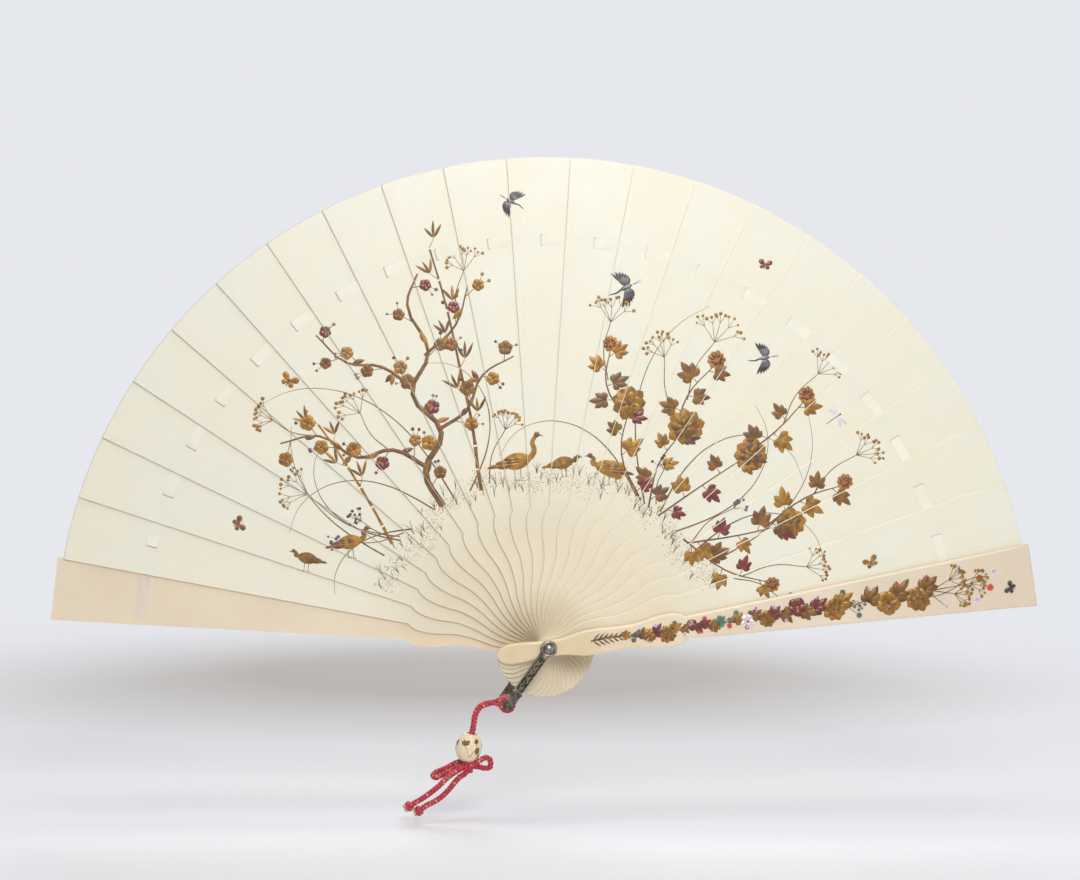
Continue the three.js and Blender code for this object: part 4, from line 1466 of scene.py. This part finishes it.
def peony_bush(picture):
    """Peonies low on the right: stems, lobed leaves, open flowers and buds."""
    rng = picture.rng
    for stem in (
        [(52, 72), (57, 94), (70, 112)], [(57, 68), (80, 84), (103, 99)],
        [(48, 76), (38, 100), (42, 124)], [(72, 54), (98, 58), (124, 64)],
        [(66, 110), (72, 130), (86, 146)], [(98, 97), (118, 112), (133, 128)],
        [(40, 118), (30, 136), (32, 154)], [(112, 62), (134, 78), (152, 84)],
        [(70, 56), (92, 40), (114, 34)],
    ):
        picture.stroke(stem, 1.0, 0.5, "brown", 0.1)
        line = flat_line(stem)
        for i in range(5):
            place, heading = line.flat_at(line.total * (i + 0.5) / 5)
            heading += (1 if i % 2 else -1) * rng.uniform(45, 85)
            foot = picture.shoot(place, heading, 3.4, 0.5, 0.3, "brown", 0.08)
            paint, vein = rng.choice(PEONY_LEAF_PAINTS)
            picture.lobed_leaf(*foot, heading, rng.uniform(7.5, 11), paint, vein)
    each(
        picture.peony, (71, 114, 10.5, "gold", "old_gold", "brown"),
        (105, 100, 9.5, "gold", "brown", "old_gold"), (42, 126, 9.5, "old_gold", "gold", "red"),
        (126, 65, 8.5, "gold", "old_gold", "brown"), (87, 149, 5.2, "gold", "red", "gold"),
        (134, 131, 5.0, "gold", "red", "gold"), (32, 157, 4.6, "gold", "red", "gold"),
        (154, 86, 4.6, "gold", "red", "gold"), (116, 33, 4.4, "gold", "red", "gold"),
    )


def stalk(picture, foot, tip):
    """A thin stalk that bows a little between its foot and its tip."""
    along = (tip[0] - foot[0], tip[1] - foot[1])
    middle = (foot[0] + 0.5 * along[0] - 0.1 * along[1], foot[1] + 0.5 * along[1] + 0.1 * along[0])
    picture.stroke([foot, middle, tip], 0.6, 0.4, "old_gold", 0.08)


def long_grasses(picture):
    """Long bowed grasses, and flower heads and berries on thin stalks, on both sides."""
    each(
        picture.grass, (46, 78, 118, 96, 118, "old_gold"), (58, 70, 62, 104, -128, "old_gold"),
        (50, 74, 100, 118, -70, "brown"), (76, 50, 40, 84, -110, "brown"), (66, 60, 20, 92, 96, "old_gold"),
        (-58, 70, 150, 92, 100, "old_gold"), (-48, 76, 122, 128, 84, "old_gold"),
        (-76, 54, 168, 76, -96, "brown"), (-40, 80, 66, 88, 110, "old_gold"),
        (-70, 60, 188, 60, 84, "brown"), (84, 44, 28, 100, 70, "old_gold"), (-84, 46, 150, 88, -60, "brown"),
    )
    for foot, tip, heading, size in (
        ((72, 128), (86, 158), 70, 15), ((70, 112), (60, 150), 110, 13), ((31, 138), (32, 168), 80, 14),
        ((138, 80), (160, 100), 30, 13), ((-80, 56), (-124, 78), 160, 14), ((-82, 101), (-97, 120), 135, 12),
        ((-47, 168), (-44, 194), 100, 12), ((122, 116), (140, 142), 50, 12),
        ((-120, 108), (-142, 116), 165, 11), ((100, 37), (134, 42), 15, 11), ((-30, 84), (-22, 112), 75, 10),
    ):
        stalk(picture, foot, tip)
        picture.spray(*tip, heading, size, "gold", "old_gold")
    for foot, tip, heading, count, paint in (
        ((-76, 56), (-96, 64), 150, 14, "ink"), ((74, 54), (96, 72), 30, 10, "grey"),
        ((56, 74), (60, 92), 100, 9, "ink"), ((-74, 58), (-106, 54), 190, 8, "grey"),
        ((96, 36), (120, 26), -20, 9, "ink"),
    ):
        stalk(picture, foot, tip)
        picture.berries(*tip, heading, count, paint, "brown")


def front_picture():
    picture = Picture(41)
    dust_ground(picture, 20, 162, 1700, 64)
    plum_tree(picture)
    peony_bush(picture)
    long_grasses(picture)
    each(
        picture.standing_bird, (-16, 86, 19, 1, 1.0, "gold", "old_gold", "brown"),
        (8, 88, 14, 1, 0.1, "old_gold", "gold", "brown"), (31, 84, 17, -1, 0.35, "gold", "old_gold", "brown"),
        (-102, 45, 16, 1, 0.5, "gold", "brown", "brown"),
        (-124, 38, 13, -1, 0.2, "old_gold", "brown", "brown"),
    )
    each(
        picture.flying_bird, (40, 186, 205, 11.5, "ink", "grey"), (112, 150, 190, 10, "ink", "grey"),
        (-20, 230, 330, 9, "ink", "grey"),
    )
    each(
        picture.butterfly, (-134, 136, 60, 6.0, "gold", "brown"), (-160, 62, 20, 5.2, "old_gold", "red"),
        (168, 44, 120, 5.2, "gold", "brown"),
    )
    picture.dragonfly(150, 120, 35, 10, "pearl", "red")
    picture.butterfly(112, 198, 80, 4.6, "red", "gold")
    return picture


def back_picture():
    """A sparser picture for the other side of the leaves."""
    picture = Picture(87)
    dust_ground(picture, 40, 140, 420, 16)
    each(
        picture.plum_branch,
        ([(70, 60), (62, 84), (74, 106), (64, 130), (76, 154), (70, 178)], 3.0, 0.9, 7, 6),
        ([(64, 86), (84, 98), (104, 96), (124, 108)], 2.0, 0.7, 5, 4),
        ([(66, 128), (48, 142), (42, 162)], 1.6, 0.6, 3, 3),
    )
    picture.bamboo(-46, 80, 96, 7, 13, 2.2, "old_gold", ("gold", "old_gold", "brown"))
    picture.standing_bird(-6, 86, 18, -1, 0.8, "gold", "old_gold", "brown")
    picture.flying_bird(-60, 176, 10, 10.5, "ink", "pearl")
    each(picture.butterfly, (-130, 90, 100, 6, "gold", "red"), (10, 178, 60, 5, "old_gold", "brown"))
    return picture


def cut_planes(index, behind):
    """Two planes that bound what shows of a stick: its own long edge, and the edge of the leaf over it."""
    side = -1 if behind else 1
    over = index - 1 if behind else index + 1
    planes = []
    for leaf_index, keep in ((index, 1), (over, -1)):
        leaf = GUARD if leaf_index in (0, LAST_LEAF) else STICK
        shoulder = Vector((SHOULDER_R, leaf["shoulder"], 0))
        corner = Vector((*half_outline(leaf)[0][0], 0))
        along = (corner - shoulder).normalized()
        out = Vector((-along.y, along.x, 0))
        inset = EDGE_MARGIN if keep == 1 else UNDER_NEXT
        place = shoulder - out * inset
        turn = Matrix.Rotation(math.radians(leaf_angle(leaf_index)), 3, "Z")
        place, out = Vector((place.x, side * place.y, 0)), Vector((out.x, side * out.y, 0))
        planes.append((turn @ place, turn @ (out * keep)))
    return planes


def cut_to(bm, near):
    """A copy of a shape cut off beyond the planes that pass near it."""
    cut = bm.copy()
    for place, out in near:
        geometry = cut.verts[:] + cut.edges[:] + cut.faces[:]
        bmesh.ops.bisect_plane(cut, geom=geometry, plane_co=place, plane_no=out, clear_outer=True)
        if not cut.faces:
            break
        fill_open_edges(cut)
    return cut


def lay_picture(picture, behind, ending):
    """Cuts a picture to the leaves and makes one piece of it for each stick that it reaches. The relief
    stands towards the front, or towards the back where the picture lies behind."""
    turn = Matrix.Rotation(math.pi / 2, 4, "X")
    if behind:
        turn = Matrix(((1, 0, 0, 0), (0, 0, 1, 0), (0, 1, 0, 0), (0, 0, 0, 1)))
    discs = []
    for bm, paint in picture.shapes:
        middle = sum((vert.co for vert in bm.verts), Vector()) / len(bm.verts)
        middle.z = 0
        reach = max((vert.co - middle).length for vert in bm.verts)
        discs.append((bm, paint, middle, reach))
    for index in range(1, STICK_COUNT + 1):
        planes = cut_planes(index, behind)
        low, high = leaf_faces(index)
        place = Matrix.Translation((0, high if behind else low, 0)) @ turn
        laid = bmesh.new()
        for bm, paint, middle, reach in discs:
            gaps = [(middle - co).dot(out) for co, out in planes]
            if max(gaps) > reach:
                continue
            near = [plane for plane, gap in zip(planes, gaps) if gap > -reach]
            part = cut_to(bm, near)
            if part.faces:
                append(laid, part, place, paint)
            else:
                part.free()
        if not laid.faces:
            laid.free()
            continue
        bmesh.ops.recalc_face_normals(laid, faces=laid.faces)
        body = leaf_body(index)
        piece(f"{body}_{ending}", laid, LACQUER.values(), body, smooth=50)


lay_picture(front_picture(), False, "picture")
lay_picture(back_picture(), True, "back_picture")


# Inlay on the guards

INLAY_START = 22
INLAY_END = 232
SPRIGS_START = 204
INLAY_RELIEF = 3.6
VINE_STEPS = 30
VINE_SWING = 0.26
FIRST_MOTIF = INLAY_START + 19
MOTIF_SHARE = 0.72
MOTIF_STEP = 1.05
LARGEST_MOTIF = 7.4
GUARD_MOTIFS = (
    "blossom", "leaf", "leaf", "peony", "leaf", "buds", "leaf", "blossom", "leaf", "peony", "leaf", "leaf",
)
GUARD_BLOSSOMS = (("gold", "red"), ("pearl", "coral"), ("gold", "brown"), ("red", "gold"))
GUARD_LEAVES = (
    ("gold", "brown"), ("old_gold", "gold"), ("red", "gold"), ("brown", "gold"), ("gold", "old_gold"),
    ("gold", "brown"), ("red", "gold"), ("green", "gold"),
)


def guard_half(reach):
    """Half the width of a guard at a distance from the rivet."""
    stations = [
        (0, GUARD["pivot"]), (SWELL_R, GUARD["swell"]), (WAIST_R, GUARD["waist"]),
        (BULGE_R, GUARD["bulge"]), (SHOULDER_R, GUARD["shoulder"]), (GUARD["reach"], GUARD["tip"]),
    ]
    for (near, near_half), (far, far_half) in zip(stations, stations[1:]):
        if reach <= far:
            return near_half + (far_half - near_half) * (reach - near) / (far - near)
    return GUARD["tip"]


def guard_room(reach):
    """How far from a guard's middle its inlay may lie, at a distance from the rivet."""
    return guard_half(reach) - GUARD_EDGE_ROUND


def guard_vine(seed):
    """A flowering vine that fills a guard's face, from its neck to its end."""
    picture = Picture(seed)
    rng = picture.rng
    length = INLAY_END - INLAY_START
    stem = []
    for i in range(VINE_STEPS + 1):
        x = INLAY_START + length * i / VINE_STEPS
        stem.append((x, VINE_SWING * guard_room(x) * math.sin(0.9 * i + 0.4)))
    picture.stroke(stem, 0.8, 0.4, "brown", 0.1)
    line = flat_line(stem, 4)
    picture.needle_sprig(*stem[0], 0, 16, "brown")
    x = FIRST_MOTIF
    side = 1
    turn = rng.randrange(len(GUARD_MOTIFS))
    while x < SPRIGS_START:
        room = min(guard_room(x - 2), guard_room(x + 2))
        size = min(MOTIF_SHARE * room, LARGEST_MOTIF)
        foot = line.flat_at(line.total * (x - INLAY_START) / length)[0]
        centre = (x, side * (room - size) * rng.uniform(0.6, 0.95))
        picture.stroke([(foot[0] - 1.5, foot[1]), centre], 0.5, 0.3, "brown", 0.08)
        guard_motif(picture, GUARD_MOTIFS[turn % len(GUARD_MOTIFS)], centre, size, side)
        filler = (x + size * 0.9, -side * (room - 1.6) * rng.uniform(0.5, 0.95))
        picture.stroke([foot, filler], 0.36, 0.22, "old_gold", 0.07)
        radius = rng.uniform(1.2, 1.7)
        picture.plum_blossom(*filler, radius, rng.choice(("coral", "pearl", "gold", "green")), "red")
        x += size * MOTIF_STEP
        side = -side
        turn += 1
    sprigs_and_insect(picture)
    return picture


def sprigs_and_insect(picture):
    """The thin sprigs with small blossoms that close a guard's vine, and an insect beyond them."""
    for x, y, heading in ((211, 4, 20), (213, -3.5, -16), (222, 0.5, 4)):
        picture.stroke([(SPRIGS_START - 3, 0), (x, y)], 0.5, 0.3, "brown", 0.08)
        picture.spray(x, y, heading, 9, "gold", "old_gold")
    each(
        picture.plum_blossom, (217, 10, 2.1, "pearl", "red"), (224, -8, 2.1, "pearl", "red"),
        (235, 5, 2.1, "pearl", "red"), (227, 2.5, 2.1, "gold", "red"), (232, -3, 2.1, "coral", "red"),
    )
    picture.butterfly(243, -5, 150, 4.4, "ink", "red")


def guard_motif(picture, kind, centre, size, side):
    """One flower, leaf or cluster of buds that stays within size of its centre."""
    rng = picture.rng
    if kind == "blossom":
        picture.plum_blossom(*centre, size * 0.95, *rng.choice(GUARD_BLOSSOMS))
    elif kind == "peony":
        picture.peony(*centre, size, "gold", "old_gold", "brown")
    elif kind == "leaf":
        heading = side * rng.uniform(15, 60)
        foot = away(*centre, heading, -0.65 * size)
        picture.lobed_leaf(*foot, heading, size * 1.5, *rng.choice(GUARD_LEAVES))
    else:
        foot = (centre[0] - size * 0.5, centre[1] - side * size * 0.5)
        picture.berries(*foot, side * 25, 5, "grey", "brown", size * 1.1)


def face_rims(shape):
    """The planes along the rims of a guard's flat face that a shape reaches over."""
    middle = sum(vert.co.x for vert in shape.verts) / len(shape.verts)
    room = guard_room(middle)
    slope = (guard_room(middle + 1) - guard_room(middle - 1)) / 2
    planes = []
    for side in (1, -1):
        place = Vector((middle, side * room, 0))
        out = Vector((-slope, side, 0)).normalized()
        if any((vert.co - place).dot(out) > 0 for vert in shape.verts):
            planes.append((place, out))
    return planes


def inlay_guard(index, seed):
    low, high = leaf_faces(index)
    angle = leaf_angle(index)
    place = on_leaf(angle, low)
    if index == 0:
        place = on_leaf(angle, high) @ Matrix.Rotation(math.pi, 4, "X")
    bm = bmesh.new()
    for shape, paint in guard_vine(seed).shapes:
        inlay = cut_to(shape, face_rims(shape))
        bmesh.ops.scale(inlay, vec=(1, 1, INLAY_RELIEF), verts=inlay.verts)
        append(bm, inlay, place, paint)
    bmesh.ops.recalc_face_normals(bm, faces=bm.faces)
    body = leaf_body(index)
    piece(f"{body}_inlay", bm, LACQUER.values(), body, smooth=50)


inlay_guard(LAST_LEAF, 23)
inlay_guard(0, 31)


# Floor, background and lamps

FLOOR_DROP = 0.004
FLOOR_RADIUS = 4


def make_stage():
    """A round matt floor under the fan that fades out at its rim, with a painted shadow behind the fan."""
    bm = bmesh.new()
    bmesh.ops.create_circle(bm, cap_ends=True, segments=64, radius=FLOOR_RADIUS)
    move(bm, Matrix.Translation((0, 0, CAD_BOX[0].z - FLOOR_DROP)))
    mesh = bpy.data.meshes.new("floor")
    bm.to_mesh(mesh)
    bm.free()
    shader = Shader("floor", Roughness=0.9, Specular_IOR_Level=0.1)
    place = shader.add("ShaderNodeTexCoord").outputs["Object"]
    far = shader.distance(place, (1.7, 1, 0))
    # A darker soft patch behind the fan, blended into the floor's colour, is a painted shadow.
    near = shader.distance(place, (2.2, 2.7, 0), (0, -1.8, 0))
    painted_shadow_tone = shader.mix(shader.scaled(near, 0.4, 1.1, 0.9, 0), srgb(238, 238, 242), srgb(190, 185, 179))
    shader.join(painted_shadow_tone, shader.surface.inputs["Base Color"])
    clear = shader.add("ShaderNodeBsdfTransparent")
    shader.blend_shaders(shader.scaled(far, 0.75, 1.3, 0, 1), shader.surface, clear, "Material Output")
    mesh.materials.append(shader.material)
    floor = bpy.data.objects.new("floor", mesh)
    bpy.context.scene.collection.objects.link(floor)


def make_world():
    """A pale background that the camera and reflections see, over a plain even light."""
    world = bpy.data.worlds.new("studio")
    bpy.context.scene.world = world
    world.use_nodes = True
    nodes = Nodes(world.node_tree)
    light = nodes.tree.nodes["Background"]
    nodes.join(srgb(252, 252, 255), light.inputs["Color"])
    nodes.join(0.22, light.inputs["Strength"])
    seen = nodes.add("ShaderNodeBackground", {"Color": srgb(230, 232, 238)})
    rays = nodes.add("ShaderNodeLightPath").outputs
    share = nodes.maths("MAXIMUM", rays["Is Camera Ray"], rays["Is Glossy Ray"])
    share = nodes.maths("MAXIMUM", share, rays["Is Transmission Ray"])
    nodes.blend_shaders(share, light, seen, "World Output")


def lamp(name, place, size, power):
    """A round lamp turned to the fan."""
    data = bpy.data.lights.new(name, "AREA")
    data.shape = "DISK"
    data.size = size
    data.energy = power
    obj = bpy.data.objects.new(name, data)
    bpy.context.scene.collection.objects.link(obj)
    obj.location = place
    obj.rotation_mode = "QUATERNION"
    obj.rotation_quaternion = (Vector(CAMERA_TARGET) - Vector(place)).to_track_quat("-Z", "Y")


make_stage()
make_world()
lamp("key", (0.08, -1.0, 0.56), 0.5, 6.3)
lamp("overhead", (0.0, -0.3, 1.8), 1.5, 13)
lamp("behind", (0.1, 1.2, 1.1), 1.2, 11)

bpy.context.scene.view_settings.view_transform = "Standard"
